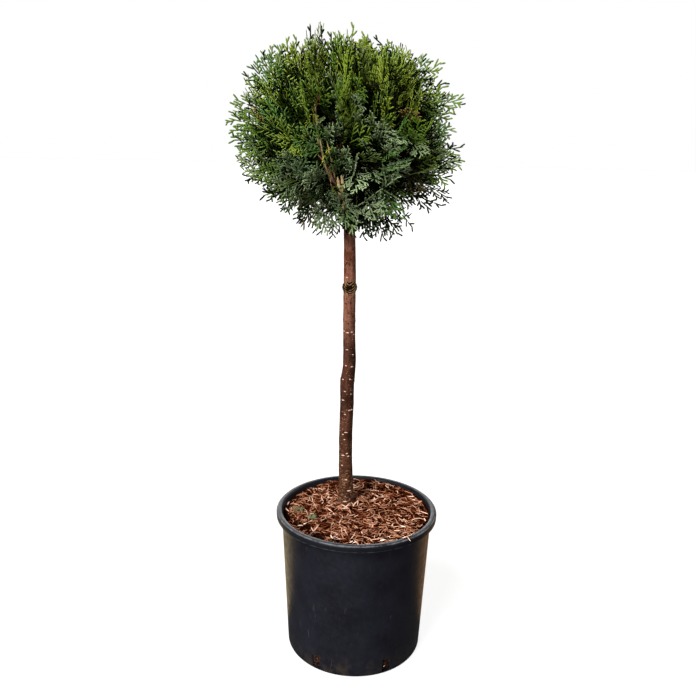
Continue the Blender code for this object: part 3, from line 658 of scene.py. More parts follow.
def pot_surface(name, specular):
    """Black satin plastic: painted grey-blue highlight lines along the rim's edges, the wall dusty and
    scuffed low down.
    """
    made = Surface(name, (0.008, 0.008, 0.012), 0.42, specular)
    clouds = made.ramped(made.noise(16.0, 4.0), 0.35, 0.70)
    scuffs = made.ramped(made.noise(170.0, 5.0, (1.0, 1.0, 0.18)), 0.66, 0.76)
    highlight_breaks = made.ramped(made.noise(90.0, 5.0), 0.32, 0.60)
    top = made.height(POT_HEIGHT - 0.0030, POT_HEIGHT - 0.0018)
    # Painted highlights: thin grey-blue lines along the rim's top edge and its lower edge, broken up by
    # noise.
    edge = made.times(made.away(0.1662, 0.1674), made.away(0.1698, 0.1690), top, highlight_breaks)
    low_edge = made.times(made.height(0.2988, 0.2996), made.height(0.3010, 0.3002))
    hem_highlight = made.times(low_edge, made.away(0.1680, 0.1688), highlight_breaks)
    streaks = made.ramped(made.noise(240.0, 3.0, (0.25, 0.25, 2.0)), 0.35, 0.65)
    lip = made.times(made.height(0.2980, 0.3000), streaks)
    dust = made.times(made.height(0.055, 0.0), made.ramped(made.noise(60.0, 5.0), 0.42, 0.72))
    specks = made.ramped(made.noise(640.0, 2.0), 0.70, 0.76)
    colour = made.mixed(clouds, (0.0035, 0.0036, 0.0065), (0.0070, 0.0075, 0.0120))
    for share, over in (
        (dust, (0.026, 0.019, 0.014)), (scuffs, (0.026, 0.024, 0.023)), (specks, (0.045, 0.038, 0.032)),
        (lip, (0.007, 0.008, 0.009)), (hem_highlight, (0.040, 0.046, 0.054)), (edge, (0.095, 0.100, 0.114)),
    ):
        colour = made.mixed(share, colour, over)
    made.paint(colour)
    made.polish(made.ramped(made.noise(90.0, 5.0), 0.3, 0.7), 0.34, 0.50)
    return made.relief(
        (made.noise(1500.0, 2.0), 0.12, 0.0003),
        (made.noise(55.0, 3.0, (1.0, 1.0, 0.3)), 0.10, 0.0015),
    )


def floor_surface():
    """A pale floor that glows a little, so that it stays near white round the pot."""
    made = Surface("floor_pale", (0.2, 0.2, 0.2), 0.8, 0.1)
    made.shader.inputs["Emission Color"].default_value = (1.0, 1.0, 1.0, 1.0)
    made.shader.inputs["Emission Strength"].default_value = FLOOR_GLOW
    made.paint(made.mixed(made.noise(3.0), (0.19, 0.19, 0.19), (0.22, 0.22, 0.22)))
    return made.relief((made.noise(400.0), 0.1, 0.0003))


def glow_surface(name, colour):
    """A plain light of its own, for what stands round the pot."""
    made = bpy.data.materials.new(name)
    made.use_nodes = True
    tree = made.node_tree
    tree.nodes.clear()
    glow = tree.nodes.new("ShaderNodeEmission")
    glow.inputs["Color"].default_value = (*colour, 1.0)
    out = tree.nodes.new("ShaderNodeOutputMaterial")
    tree.links.new(glow.outputs[0], out.inputs["Surface"])
    return made


# Foliage colours by zone, each with the darker shade of a spray's older part and the shade of its tips.
# The older parts are drawn near black, partly their own darker colour and partly painted shade between the
# sprays;
# the zones for the dark fringe and underside and for the inner layers are painted shade.
ZONE_SHADES = {
    "bright": (
        ((0.008, 0.017, 0.001), (0.130, 0.196, 0.016)), ((0.006, 0.013, 0.001), (0.088, 0.156, 0.014)),
        ((0.011, 0.020, 0.002), (0.172, 0.230, 0.022)),
    ),
    "green": (
        ((0.005, 0.013, 0.001), (0.094, 0.168, 0.021)), ((0.004, 0.010, 0.002), (0.066, 0.142, 0.027)),
        ((0.008, 0.016, 0.002), (0.120, 0.184, 0.023)), ((0.005, 0.011, 0.003), (0.150, 0.205, 0.075)),
    ),
    "blue": (
        ((0.003, 0.008, 0.002), (0.092, 0.156, 0.054)), ((0.004, 0.008, 0.003), (0.140, 0.194, 0.092)),
        ((0.005, 0.010, 0.002), (0.124, 0.178, 0.042)),
    ),
    "grey": (
        ((0.007, 0.012, 0.004), (0.136, 0.188, 0.082)), ((0.010, 0.015, 0.006), (0.198, 0.258, 0.130)),
        ((0.005, 0.011, 0.004), (0.090, 0.152, 0.062)),
    ),
    "rusty": (
        ((0.008, 0.005, 0.002), (0.050, 0.038, 0.013)), ((0.010, 0.006, 0.002), (0.070, 0.050, 0.020)),
    ),
    "pale": (
        ((0.008, 0.013, 0.005), (0.240, 0.318, 0.160)), ((0.006, 0.012, 0.004), (0.175, 0.252, 0.112)),
    ),
    "yellow": (((0.060, 0.070, 0.010), (0.380, 0.420, 0.050)),),
    "dead": (((0.016, 0.007, 0.003), (0.110, 0.050, 0.022)),),
    "ochre": (((0.050, 0.034, 0.008), (0.280, 0.190, 0.060)),),
    "dark": (
        ((0.004, 0.008, 0.002), (0.015, 0.028, 0.008)), ((0.006, 0.010, 0.004), (0.026, 0.042, 0.016)),
    ),
    "deep": (
        ((0.001, 0.003, 0.001), (0.010, 0.019, 0.003)), ((0.002, 0.004, 0.001), (0.016, 0.026, 0.006)),
    ),
    "shade": (((0.001, 0.002, 0.001), (0.003, 0.005, 0.001)),),
}
# The foliage in the light shines a little, and the rest not at all.
ZONE_SHEEN = {"bright": 0.20, "green": 0.20, "blue": 0.30, "grey": 0.40, "pale": 0.45}
DARK_SHEEN = 0.0
# Colours of the mulch's fibres, from those lowest in the heap up, with the share of each; the darkest, lowest
# ones are painted shade.
FIBRE_SHADES = (
    ("fibre_dark", (0.004, 0.001, 0.001), 0.38),
    ("fibre_red", (0.044, 0.008, 0.002), 0.22),
    ("fibre_brown", (0.160, 0.044, 0.018), 0.11),
    ("fibre_tan", (0.440, 0.205, 0.120), 0.16),
    ("fibre_pink", (0.760, 0.480, 0.350), 0.13),
)
# Two more that only the pale chips have.
CHIP_SHADES = (("fibre_white", (0.860, 0.700, 0.600)), ("fibre_twig", (0.210, 0.160, 0.140)))


# ---- Meshes ----


def new_piece(name, verts, faces, materials, shades=None):
    """A smooth mesh object from points and equal-sided faces, with a material for each face."""
    mesh = bpy.data.meshes.new(name)
    faces = np.asarray(faces, dtype=np.int32)
    mesh.vertices.add(len(verts))
    mesh.vertices.foreach_set("co", np.asarray(verts, dtype=np.float32).ravel())
    mesh.loops.add(faces.size)
    mesh.loops.foreach_set("vertex_index", faces.ravel())
    mesh.polygons.add(len(faces))
    mesh.polygons.foreach_set("loop_start", np.arange(0, faces.size, faces.shape[1], dtype=np.int32))
    for made in materials:
        mesh.materials.append(made)
    if shades is not None:
        mesh.polygons.foreach_set("material_index", np.asarray(shades, dtype=np.int32))
    mesh.polygons.foreach_set("use_smooth", np.ones(len(faces), dtype=bool))
    mesh.update(calc_edges=True)
    mesh.validate()
    obj = bpy.data.objects.new(name, mesh)
    bpy.context.scene.collection.objects.link(obj)
    return obj


def settle(obj, slot, *nodes):
    """Makes a piece ride on the part's body in place of CAD nodes; the slot is not used."""
    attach(obj, "root")
    if nodes:
        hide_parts(*nodes)


class Pile:
    """Meshes gathered for one piece, with a shade for each face."""

    def __init__(self):
        self.verts, self.faces, self.shades, self.count = [], [], [], 0

    def add(self, verts, faces, shades=0):
        """Adds a mesh, with one shade or a shade for each face."""
        self.verts.append(verts)
        self.faces.append(faces + self.count)
        self.shades.append(np.broadcast_to(shades, len(faces)))
        self.count += len(verts)

    def piece(self, name, materials):
        """The gathered meshes as one object."""
        verts = np.concatenate(self.verts)
        return new_piece(name, verts, np.concatenate(self.faces), materials, np.concatenate(self.shades))


def polar(radius, turn, height=0.0):
    """The place at a distance from the z axis, an azimuth and a height."""
    return Vector((radius * math.cos(turn), radius * math.sin(turn), height))


def unit(rows):
    """Each row of an array as a direction."""
    rows = np.asarray(rows, dtype=float)
    return rows / np.maximum(np.linalg.norm(rows, axis=-1, keepdims=True), 1e-9)


def skin(rows, sides):
    """Triangles round rings of points that follow one another, closed by one more point at each end."""
    faces = []
    for row in range(rows - 1):
        for i in range(sides):
            a, b = row * sides + i, row * sides + (i + 1) % sides
            faces += [(a, b, b + sides), (a, b + sides, a + sides)]
    last = (rows - 1) * sides
    for i in range(sides):
        following = (i + 1) % sides
        faces += [(following, i, rows * sides), (last + i, last + following, rows * sides + 1)]
    return np.array(faces)


def tubes(lines, radii, sides, flat=1.0):
    """Tubes along lines of equally many points, closed at both ends: their points and triangles."""
    lines = np.asarray(lines, dtype=float)
    count, steps, _ = lines.shape
    along = unit(np.gradient(lines, axis=1))
    main = unit(lines[:, -1] - lines[:, 0])
    steep = np.abs(main[:, 2:3]) > 0.9
    reference = np.where(steep, (1.0, 0.0, 0.0), (0.0, 0.0, 1.0))
    across = unit(np.cross(along, reference[:, None, :]))
    lift = np.cross(across, along)
    turn = 2.0 * np.pi * np.arange(sides) / sides
    radii = np.broadcast_to(radii, (count, steps))[:, :, None, None]
    rings = lines[:, :, None, :] + radii * (
        across[:, :, None, :] * np.cos(turn)[None, None, :, None]
        + lift[:, :, None, :] * (flat * np.sin(turn))[None, None, :, None]
    )
    verts = np.concatenate((rings.reshape(count, -1, 3), lines[:, :1], lines[:, -1:]), axis=1)
    faces = skin(steps, sides)[None] + (np.arange(count) * (steps * sides + 2))[:, None, None]
    return verts.reshape(-1, 3), faces.reshape(-1, 3)


def bent(start, end, heading, steps):
    """Points on a smooth line from start to end that arrives along a heading."""
    start, end, heading = (np.asarray(v, dtype=float) for v in (start, end, heading))
    control = end - heading * 0.45 * np.linalg.norm(end - start)
    t = np.linspace(0.0, 1.0, steps)[:, None]
    return start * (1 - t) ** 2 + control * 2 * t * (1 - t) + end * t**2


# ---- Trunk and boughs ----


def spread(line, height, column):
    """A value of the trunk's line at a height, by a smooth curve through its points."""
    last = len(line) - 1
    i = next((k for k in range(last) if height <= line[k + 1][0]), last - 1)
    before, start, end, after = (line[min(max(k, 0), last)] for k in (i - 1, i, i + 1, i + 2))
    share = (height - start[0]) / (end[0] - start[0])
    slope_in = (end[column] - before[column]) / (end[0] - before[0]) * (end[0] - start[0])
    slope_out = (after[column] - start[column]) / (after[0] - start[0]) * (end[0] - start[0])
    square, cube = share * share, share * share * share
    return (
        (2 * cube - 3 * square + 1) * start[column]
        + (cube - 2 * square + share) * slope_in
        + (3 * square - 2 * cube) * end[column]
        + (cube - square) * slope_out
    )


def trunk_point(height):
    """The stem's axis at a height."""
    return Vector((spread(TRUNK_LINE, height, 1), spread(TRUNK_LINE, height, 2), height))


def trunk_radius(height):
    """The stem's radius at a height, with its old whorls."""
    radius = spread(TRUNK_LINE, height, 3)
    for middle, proud, half in TRUNK_RINGS:
        radius += proud * max(0.0, 1.0 - ((height - middle) / half) ** 2)
    return radius


def trunk_relief(turn, height):
    """How far the bark stands out: lumps, upright strips, and wrinkles round the old whorls."""
    share, below, over = FOOT_ROUGHNESS
    found = sum(depth * noise.noise(polar(round_by, turn, height * up)) for depth, round_by, up in BARK_GRAIN)
    found *= 1.0 + share * max(0.0, (below - height) / over)
    for middle, _, half in WHORLS:
        near = math.exp(-(((height - middle) / (1.3 * half)) ** 2))
        found += WHORL_WRINKLE * near * noise.noise(polar(3.0, turn, height * 260.0))
    return found - knot_groove(turn, height)


def knot_groove(turn, height):
    """How deep the folds of the large knot cut in: they slant down to the front in a V."""
    off_front = abs(math.remainder(turn, 2.0 * math.pi))
    wave = KNOT_WAVE * noise.noise(polar(1.6, turn, height * 60.0))
    level = height - KNOT + KNOT_LOWER + wave - KNOT_SLANT * min(off_front, 1.5) ** 1.4
    near = math.exp(-(((height - KNOT) / KNOT_HALF) ** 4))
    pit = math.exp(-((off_front / PIT_TURN) ** 2) - ((height - KNOT - PIT_ABOVE) / PIT_HALF) ** 2)
    fold = math.cos(level * 2.0 * math.pi / KNOT_FOLD)
    return near * (0.5 * KNOT_DEPTH * (0.7 - fold) + PIT_DEPTH * pit)


def barked(centres, radii, relief, sides):
    """A closed skin round a line of centres that run mostly one way, with the bark's relief."""
    centres = np.asarray(centres, dtype=float)
    along = unit(np.gradient(centres, axis=0))
    reference = (1.0, 0.0, 0.0) if abs(along[0, 2]) > 0.8 else (0.0, 0.0, 1.0)
    across = unit(np.cross(reference, along))
    lift = np.cross(along, across)
    rows = []
    for k, centre in enumerate(centres):
        for i in range(sides):
            turn = 2.0 * math.pi * i / sides
            out = across[k] * math.cos(turn) + lift[k] * math.sin(turn)
            rows.append(centre + out * (radii[k] + relief(turn, k)))
    return np.array([*rows, centres[0], centres[-1]]), skin(len(centres), sides)


def make_trunk(bark):
    """The stem's bark, with painted shade in its folds and painted highlights on the knot's crests."""
    heights = np.arange(TRUNK_BASE, TRUNK_LINE[-1][0], TRUNK_ROW)
    centres = [trunk_point(height) for height in heights]
    radii = [trunk_radius(height) for height in heights]
    verts, faces = barked(centres, radii, lambda turn, k: trunk_relief(turn, heights[k]), TRUNK_SIDES)
    turns = 2.0 * np.pi * np.arange(TRUNK_SIDES) / TRUNK_SIDES
    proud = np.array([trunk_relief(turn, height) for height in heights for turn in turns] + [0.0, 0.0])
    proud = proud[faces].mean(axis=1)
    in_knot = np.abs(verts[faces].mean(axis=1)[:, 2] - KNOT) < KNOT_HALF
    shades = np.where(in_knot, np.where(proud > PAINTED_HIGHLIGHT_ABOVE, 2, 1), np.where(proud < PAINTED_SHADE_BELOW, 1, 0))
    groove = pitted_surface("bark_fold_shade", (0.010, 0.004, 0.002), 0.9)
    ridge = pitted_surface("bark_crest_highlight", (0.210, 0.130, 0.062), 0.9)
    settle(new_piece("trunk_bark", verts, faces, [bark, groove, ridge], shades), "bark", "trunk")


def on_stem(pixel):
    """The height and the azimuth at which the photograph shows a point on the stem's front."""
    place = seen_at(pixel, TRUNK_LINE[0][2] - TRUNK_LINE[-1][3])
    away = (place.x - trunk_point(place.z).x) / trunk_radius(place.z)
    return place.z, math.asin(min(0.95, max(-0.95, away))) - math.pi / 2.0


def add_lenticel(pile, height, turn, half, girth, rng):
    """One pore: a small spindle across the bark, in the paler shade if it is thick."""
    radius = trunk_radius(height)
    line = []
    for share in (-1.0, -0.5, 0.0, 0.5, 1.0):
        middle = trunk_point(height + LENTICEL_WAVE * rng.uniform(-1.0, 1.0))
        line.append(middle + polar(1.0, turn + share * half / radius) * (radius + LENTICEL_LIFT))
    radii = girth * np.array((0.25, 0.8, 1.0, 0.8, 0.25))
    pile.add(*tubes([line], radii, 6, 1.3), int(girth > LENTICEL_RADII[1]))


def make_lenticels():
    """Small pale breathing pores that lie across the bark, closer together towards the foot."""
    rng = random.Random(5)
    pile = Pile()
    for _ in range(LENTICELS):
        height = LENTICEL_START + LENTICEL_SPAN * rng.random() ** 2.0
        turn = rng.uniform(0.0, 2.0 * math.pi)
        add_lenticel(pile, height, turn, rng.uniform(*LENTICEL_HALVES), rng.uniform(*LENTICEL_RADII), rng)
    for pixel, half in SHOWN_LENTICELS:
        add_lenticel(pile, *on_stem(pixel), SHOWN_PORE_STRETCH * half, rng.uniform(*SHOWN_PORE_RADII), rng)
    tan = fibre_surface("lenticel_tan", (0.300, 0.160, 0.100))
    pink = fibre_surface("lenticel_pink", (0.640, 0.430, 0.340))
    settle(pile.piece("lenticels", [tan, pink]), "bark")


def make_boughs(plan, bark):
    """The boughs' bark, from a collar at the trunk to where each enters its mass."""
    pile = Pile()
    for k, mass in enumerate(plan[1:]):
        line = [np.array(point) for point in bough_line(mass, BOUGH_ROWS)]
        shares = np.linspace(0.0, 1.0, len(line))
        collar = 1.0 + BOUGH_COLLAR * np.exp(-((shares * 6.0) ** 2))
        radii = (BOUGH_RADIUS + (BOUGH_TIP_RADIUS - BOUGH_RADIUS) * shares) * collar

        def relief(turn, row, seed=k):
            place = polar(3.0, turn, row * 0.55 + 10.0 * seed)
            return 0.00032 * noise.noise(place) + 0.00018 * noise.noise(place * 3.1)

        pile.add(*barked(line, radii, relief, BOUGH_SIDES))
    nodes = [f"bough_{mass.name}" for mass in plan[1:]]
    settle(pile.piece("bough_bark", [bark]), "bark", *nodes)


# ---- Crown ----


def crown_reach(direction):
    """How far the crown reaches from its centre in a direction."""
    scaled = Vector(direction[i] / CROWN_REACH[i] for i in range(3))
    swell = 1.0 + SWELLING * noise.noise(direction * SWELLING_SCALE + Vector((3.1, 1.7, 0.4)))
    return swell / scaled.length


def way_out(start, direction):
    """The distance from a point inside the crown to its outline, along a direction."""
    low, high = 0.0, 0.5
    for _ in range(24):
        middle = (low + high) / 2.0
        offset = start + direction * middle - CROWN_CENTRE
        if offset.length < crown_reach(offset.normalized()):
            low = middle
        else:
            high = middle
    return low


def mass_plan():
    """Each mass of foliage: where its core lies, how large it is and where its bough leaves the trunk."""
    found = []
    for tier, count, elevation, phase, height in TIERS:
        for i in range(count):
            azimuth = math.radians(phase + 360.0 * i / count)
            tilt = math.radians(elevation)
            direction = polar(math.cos(tilt), azimuth, math.sin(tilt))
            name = tier if count == 1 else f"{tier}_{i + 1}"
            core = CROWN_CENTRE + direction * CORE_DISTANCE * crown_reach(direction)
            found.append((Mass(name, tier, core, CORE_RADIUS, height + TIER_STAGGER * (i % 3)), direction))
    sized = []
    for mass, direction in found:
        nearest = min((other.core - mass.core).length for other, _ in found if other is not mass)
        sized.append(mass._replace(radius=min(CORE_RADIUS, CORE_SHARE * nearest)))
    return sized, [direction for _, direction in found]


def bough_line(mass, points):
    """The centre line of a bough from the trunk's axis to where it enters its mass."""
    start = trunk_point(mass.leaves_at)
    entry = mass.core + (start - mass.core).normalized() * (mass.radius + ENTRY)
    inward = (mass.core - entry).normalized()
    turn = entry - inward * 0.45 * (entry - start).length + Vector((0.0, 0.0, -0.004))
    line = []
    for i in range(points):
        share = i / (points - 1)
        line.append(start * (1 - share) ** 2 + turn * 2 * share * (1 - share) + entry * share**2)
    return line


def turned_from(direction, tilt, azimuth):
    """The direction tilted away from itself, at an azimuth round it."""
    side = direction.orthogonal().normalized()
    axis = Matrix.Rotation(azimuth, 3, direction) @ side
    return (Matrix.Rotation(tilt, 3, axis) @ direction).normalized()


def ways_from(mass, direction, leaders, seed):
    """The ways that a mass's twigs take from its core: to its leaders, then in rings."""
    rng = random.Random(seed)
    ways = [(tip - mass.core).normalized() for tip in leaders]
    droop = Vector((0.0, 0.0, -TWIG_DROOP)) * max(0.0, 0.2 - direction.z)
    for twigs, tilt in TWIG_RINGS:
        turn = rng.uniform(0.0, 2.0 * math.pi)
        for i in range(twigs):
            azimuth = turn + 2.0 * math.pi * (i + rng.uniform(-0.2, 0.2)) / twigs
            way = turned_from(direction, tilt * rng.uniform(0.85, 1.15), azimuth)
            ways.append((way + droop).normalized())
    return ways


def near_trunk(point, margin):
    """Whether a point is inside the trunk or closer to it than the margin."""
    if point[2] > TRUNK_LINE[-1][0]:
        return False
    height = max(point[2], TRUNK_BASE)
    axis = trunk_point(height)
    return math.hypot(point[0] - axis.x, point[1] - axis.y) < trunk_radius(height) + margin


# ---- Sprays ----


def heading(angle):
    """A direction in a spray's plane, at an angle from +Y."""
    return np.array((math.sin(angle), math.cos(angle)))


def pinna(rng, root, angle, side, reach, step, long=1.0):
    """One side branch of a spray: its own axis with fingers on both sides of it."""
    tip = root + heading(angle - side * PINNA_CURVE) * reach
    if reach < PINNA_LEAST:
        return [Blade(root, tip, 1.0, False)]
    blades = [Blade(root, tip, 0.95, False)]
    count = int((reach - 0.003) / (FINGER_STEP * step))
    hand = side
    for k in range(count):
        share = (k + 0.8) / (count + 0.6)
        length = long * FINGER_LENGTH * (1.0 - FINGER_TAPER * share) * rng.uniform(*FINGER_LENGTH_JITTER)
        length *= min(1.0, 0.35 + reach / 0.06)
        if hand == side:
            length *= UPPER_FINGER
        start = root + (tip - root) * share
        way = angle + hand * FINGER_ANGLE * rng.uniform(*FINGER_ANGLE_JITTER)
        blades.append(Blade(start, start + heading(way) * length, rng.uniform(*FINGER_WIDTH_JITTER), False))
        hand = -hand
    return blades


def spray_plan(rng, length, slim, step, lean):
    """The blades of one flat spray along +Y, from its root to its tip."""
    middle = [np.array((lean * length * t * t, length * t)) for t in SPRAY_JOINTS]
    blades = [Blade(a, b, 1.05 - 0.1 * i, False) for i, (a, b) in enumerate(zip(middle, middle[1:]))]
    side = rng.choice((-1, 1))
    t, last = PINNA_SPAN
    while t < last:
        start = np.array((lean * length * t * t, length * t))
        full = min(1.0, 0.40 + 2.4 * t) * (1.0 - t) ** 0.65
        reach = PINNA_SHARE * slim * length * full * rng.uniform(*PINNA_LENGTH_JITTER) + PINNA_ROOT
        angle = side * PINNA_ANGLE * (1.0 - PINNA_TURN_IN * t) * rng.uniform(*PINNA_ANGLE_JITTER)
        blades += pinna(rng, start, angle, side, reach, step)
        side = -side
        t += PINNA_STEP * step * rng.uniform(*PINNA_STEP_JITTER) / length
    return blades


def aged(blades, length, old, rng):
    """The blades, those within a share of the spray's length and a few others marked as dark."""
    found = []
    for blade in blades:
        young = blade.end[1] > old * length and rng.random() > DARK_FINGERS
        found.append(blade._replace(tip=young))
    return found


def blade_meshes(blades, rng, sides, rings):
    """Points, triangles and shades of flat pointed blades in one plane, each tilted a little out of it."""
    starts = np.array([blade.start for blade in blades])
    ends = np.array([blade.end for blade in blades])
    widths = FINGER_WIDTH * np.array([blade.width for blade in blades])
    along = ends - starts
    reach = np.linalg.norm(along, axis=1)
    across = np.stack((along[:, 1], -along[:, 0]), axis=1) / reach[:, None]
    lift = np.array([rng.gauss(0.0, 0.05) for _ in blades]) * np.minimum(reach, 0.02)
    turn = 2.0 * np.pi * (np.arange(sides) + 0.25 * (sides == 3)) / sides
    points = [np.column_stack((starts, np.zeros(len(blades))))]
    for share, swell in rings:
        centre = starts + along * share
        for angle in turn:
            flat = centre + across * (0.5 * swell * widths * math.cos(angle))[:, None]
            up = lift * share + 0.5 * FINGER_THICKNESS * swell * widths * math.sin(angle)
            points.append(np.column_stack((flat, up)))
    points.append(np.column_stack((ends, lift)))
    verts = np.stack(points, axis=1)
    faces = []
    for i in range(sides):
        following = (i + 1) % sides
        faces.append((0, 1 + following, 1 + i))
        for ring in range(len(rings) - 1):
            a, b = 1 + ring * sides + i, 1 + ring * sides + following
            faces += [(a, b, b + sides), (a, b + sides, a + sides)]
        last = 1 + (len(rings) - 1) * sides
        faces.append((last + i, last + following, len(points) - 1))
    faces = np.array(faces)[None] + (np.arange(len(blades)) * len(points))[:, None, None]
    shades = np.repeat([int(blade.tip) for blade in blades], faces.shape[1])
    return verts.reshape(-1, 3), faces.reshape(-1, 3), shades


def placed(verts, root, along, across, length, cup, bend, twist):
    """A spray's points laid out from its root, cupped across, bent along and twisted."""
    x, y, z = verts.T
    turn = twist * y / length
    x, z = x * np.cos(turn) - z * np.sin(turn), x * np.sin(turn) + z * np.cos(turn)
    z = z + cup * x * x / length + bend * y * y / length
    face = np.cross(across, along)
    return root + np.outer(x, across) + np.outer(y, along) + np.outer(z, face)


def zone_of(offset, rng):
    """The zone whose colours a spray in the light takes, from where its tip is in the crown."""
    level = offset.z / CROWN_REACH.z + rng.gauss(0.0, ZONE_BLUR)
    for zone, lowest in ZONE_LEVELS:
        if level > lowest:
            return zone
    return rng.choices(*LOW_ZONES)[0]


class Palette:
    """Every foliage material, and where a zone's shades stand among them."""

    def __init__(self):
        self.materials = []
        self.first = {}
        for zone, pairs in ZONE_SHADES.items():
            self.first[zone] = len(self.materials)
            for k, pair in enumerate(pairs):
                for part, colour in zip(("old", "tip"), pair):
                    sheen = ZONE_SHEEN.get(zone, DARK_SHEEN) if part == "tip" else DARK_SHEEN
                    self.materials.append(leaf_surface(f"leaf_{zone}_{k + 1}_{part}", colour, sheen))

    def shades(self, zone, rng, tips):
        """A material for each face of a spray: one of the zone's pairs, the lighter shade on its tips."""
        return self.first[zone] + 2 * rng.randrange(len(ZONE_SHADES[zone])) + tips


def spray_kinds(rng):
    """Ready sprays for each shell, from short to long."""
    kinds = {}
    for shell in SHELLS:
        sprays = []
        for k in range(PLANS_PER_KIND):
            length = shell.lengths[0] + (shell.lengths[1] - shell.lengths[0]) * k / (PLANS_PER_KIND - 1)
            blades = spray_plan(rng, length, rng.uniform(0.85, 1.15), shell.step, rng.uniform(-LEAN, LEAN))
            blades = aged(blades, length, rng.uniform(*OLD_SHARE), rng)
            sprays.append((length, *blade_meshes(blades, rng, shell.sides, shell.rings)))
        kinds[shell.name] = sprays
    return kinds


def spread_out(count, rng):
    """Directions evenly all round, a little shaken."""
    golden = math.pi * (3.0 - math.sqrt(5.0))
    found = []
    for i in range(count):
        z = 1.0 - 2.0 * (i + 0.5) / count
        shake = Vector(rng.gauss(0.0, SCATTER) / math.sqrt(count) for _ in range(3))
        found.append((polar(math.sqrt(1.0 - z * z), golden * i, z) + shake).normalized())
    return found


def growth(tip, out, rng):
    """The direction a spray grows in: away from the stem's fork, as its neighbours do, a little at random."""
    swirl = GROWTH_STRAY * noise.noise_vector(out * GROWTH_STRAY_SCALE)
    stray = Vector(rng.gauss(0.0, GROWTH_JITTER) for _ in range(3))
    droop = Vector((0.0, 0.0, -LOW_DROOP if out.z < -0.35 else 0.0))
    return ((tip - FORK).normalized() + swirl + stray + droop).normalized()


def drawn_in(tip, along, out, length):
    """The growth direction, turned outward until the spray's root is well inside the crown."""
    while True:
        offset = tip - along * length - CROWN_CENTRE
        if offset.length < ROOT_REACH * crown_reach(offset.normalized()):
            return along
        along = (along + out * DRAW_STEP).normalized()


def shown_reach(out):
    """How far the foliage reaches: the crown's outline as the photograph shows it, with small clumps."""
    outline = [share for quarter in CROWN_OUTLINE for share in quarter]
    turn = math.degrees(math.atan2(out.z, out.x)) / OUTLINE_STEP % len(outline)
    first = int(turn)
    seen = outline[first] + (outline[(first + 1) % len(outline)] - outline[first]) * (turn - first)
    share = seen + (OUTLINE_DEEP - seen) * out.y * out.y
    clumps = CLUMP * noise.noise(out * CLUMP_SCALE + Vector((0.6, 2.3, 5.1)))
    return crown_reach(out) * (share + clumps)


def lie(out, along, rng):
    """The direction across a spray: flat to the crown's surface, or upright like a page."""
    across = along.cross(out)
    if across.length < 0.15:
        across = along.orthogonal()
    level = LIE_UPPER if out.z > UNDERSIDE else LIE_LOWER
    upright = 0.5 + LIE_NOISE * noise.noise(out * LIE_SCALE) + level
    roll = 0.5 * math.pi * min(1.0, max(0.0, upright)) + rng.gauss(0.0, LIE_JITTER)
    return (Matrix.Rotation(roll, 3, along) @ across.normalized()).normalized()


class Crown:
    """The crown in the making: a pile of sprays for each mass, and the lines of the twigs that carry them."""

    def __init__(self, plan, directions):
        self.palette = Palette()
        self.piles = [Pile() for _ in plan]
        self.cores = np.array([mass.core for mass in plan])
        self.main_twigs, self.side_twigs, self.knots = [], [], []
        for seed, (mass, direction) in enumerate(zip(plan, directions)):
            leaders = [Vector(tip) for tip in LEADER_TIPS if mass_at(self.cores, tip) == seed]
            lines = []
            for way in ways_from(mass, direction, leaders, seed):
                end = mass.core + way * (TWIG_REACH * way_out(mass.core, way))
                bow = (way + Vector((0.0, 0.0, 0.35))).normalized()
                lines.append(bent(mass.core, end, bow, 9))
            self.main_twigs += lines
            self.knots.append(np.concatenate([line[2:] for line in lines]))

    def attach(self, seed, root, along):
        """Grows a side twig to a spray's root from the nearest main twig of its mass."""
        offsets = root - self.knots[seed]
        away = np.linalg.norm(offsets, axis=1)
        cost = away + 0.03 * (1.0 - offsets @ along / np.maximum(away, 1e-6))
        self.side_twigs.append(bent(self.knots[seed][np.argmin(cost)], root, along, 5))

    def add(self, spray, tip, along, across, zone, rng, bend, loose=1.0):
        """Adds a spray with its tip in place, curled by how loose it is, unless it crosses the trunk."""
        length, verts, faces, tips = spray
        tip, along, across = (np.array(v) for v in (tip, along, across))
        root = tip - along * length - np.cross(across, along) * bend * length
        shares = (0.0, 0.25, 0.5, 0.75, 1.0)
        if any(near_trunk(root + along * length * share, SPRAY_CLEARANCE) for share in shares):
            return
        cup = loose * rng.uniform(-0.5, 0.25)
        made = placed(verts, root, along, across, length, cup, bend, loose * rng.gauss(0.0, 0.5))
        seed = mass_at(self.cores, (root + tip) * 0.5)
        self.piles[seed].add(made, faces, self.palette.shades(zone, rng, tips))
        self.attach(seed, root, along)


def seen_at(pixel, depth):
    """The place on the upright plane y = depth that the photograph shows at a pixel."""
    middle = PHOTO_PIXELS / 2.0
    ray = CAMERA_TURN @ Vector((pixel[0] - middle, middle - pixel[1], -FOCAL_PIXELS))
    return CAMERA_PLACE + ray * ((depth - CAMERA_PLACE.y) / ray.y)


def pixel_of(place):
    """The pixel at which the photograph shows a place."""
    ray = CAMERA_TURN.transposed() @ (place - CAMERA_PLACE)
    middle = PHOTO_PIXELS / 2.0
    return middle - FOCAL_PIXELS * ray.x / ray.z, middle + FOCAL_PIXELS * ray.y / ray.z


def kept_clear(tip, along, length):
    """Whether the outer part of a spray's axis runs through a dark hollow or before a gap of sky."""
    for place in (tip - along * length * share for share in (0.0, 0.25, 0.5)):
        if any((place - seen_at(pixel, depth)).length < radius for pixel, depth, radius in HOLLOWS):
            return True
        if any(math.dist(pixel_of(place), pixel) < radius for pixel, radius in SKY_GAPS):
            return True
    return False


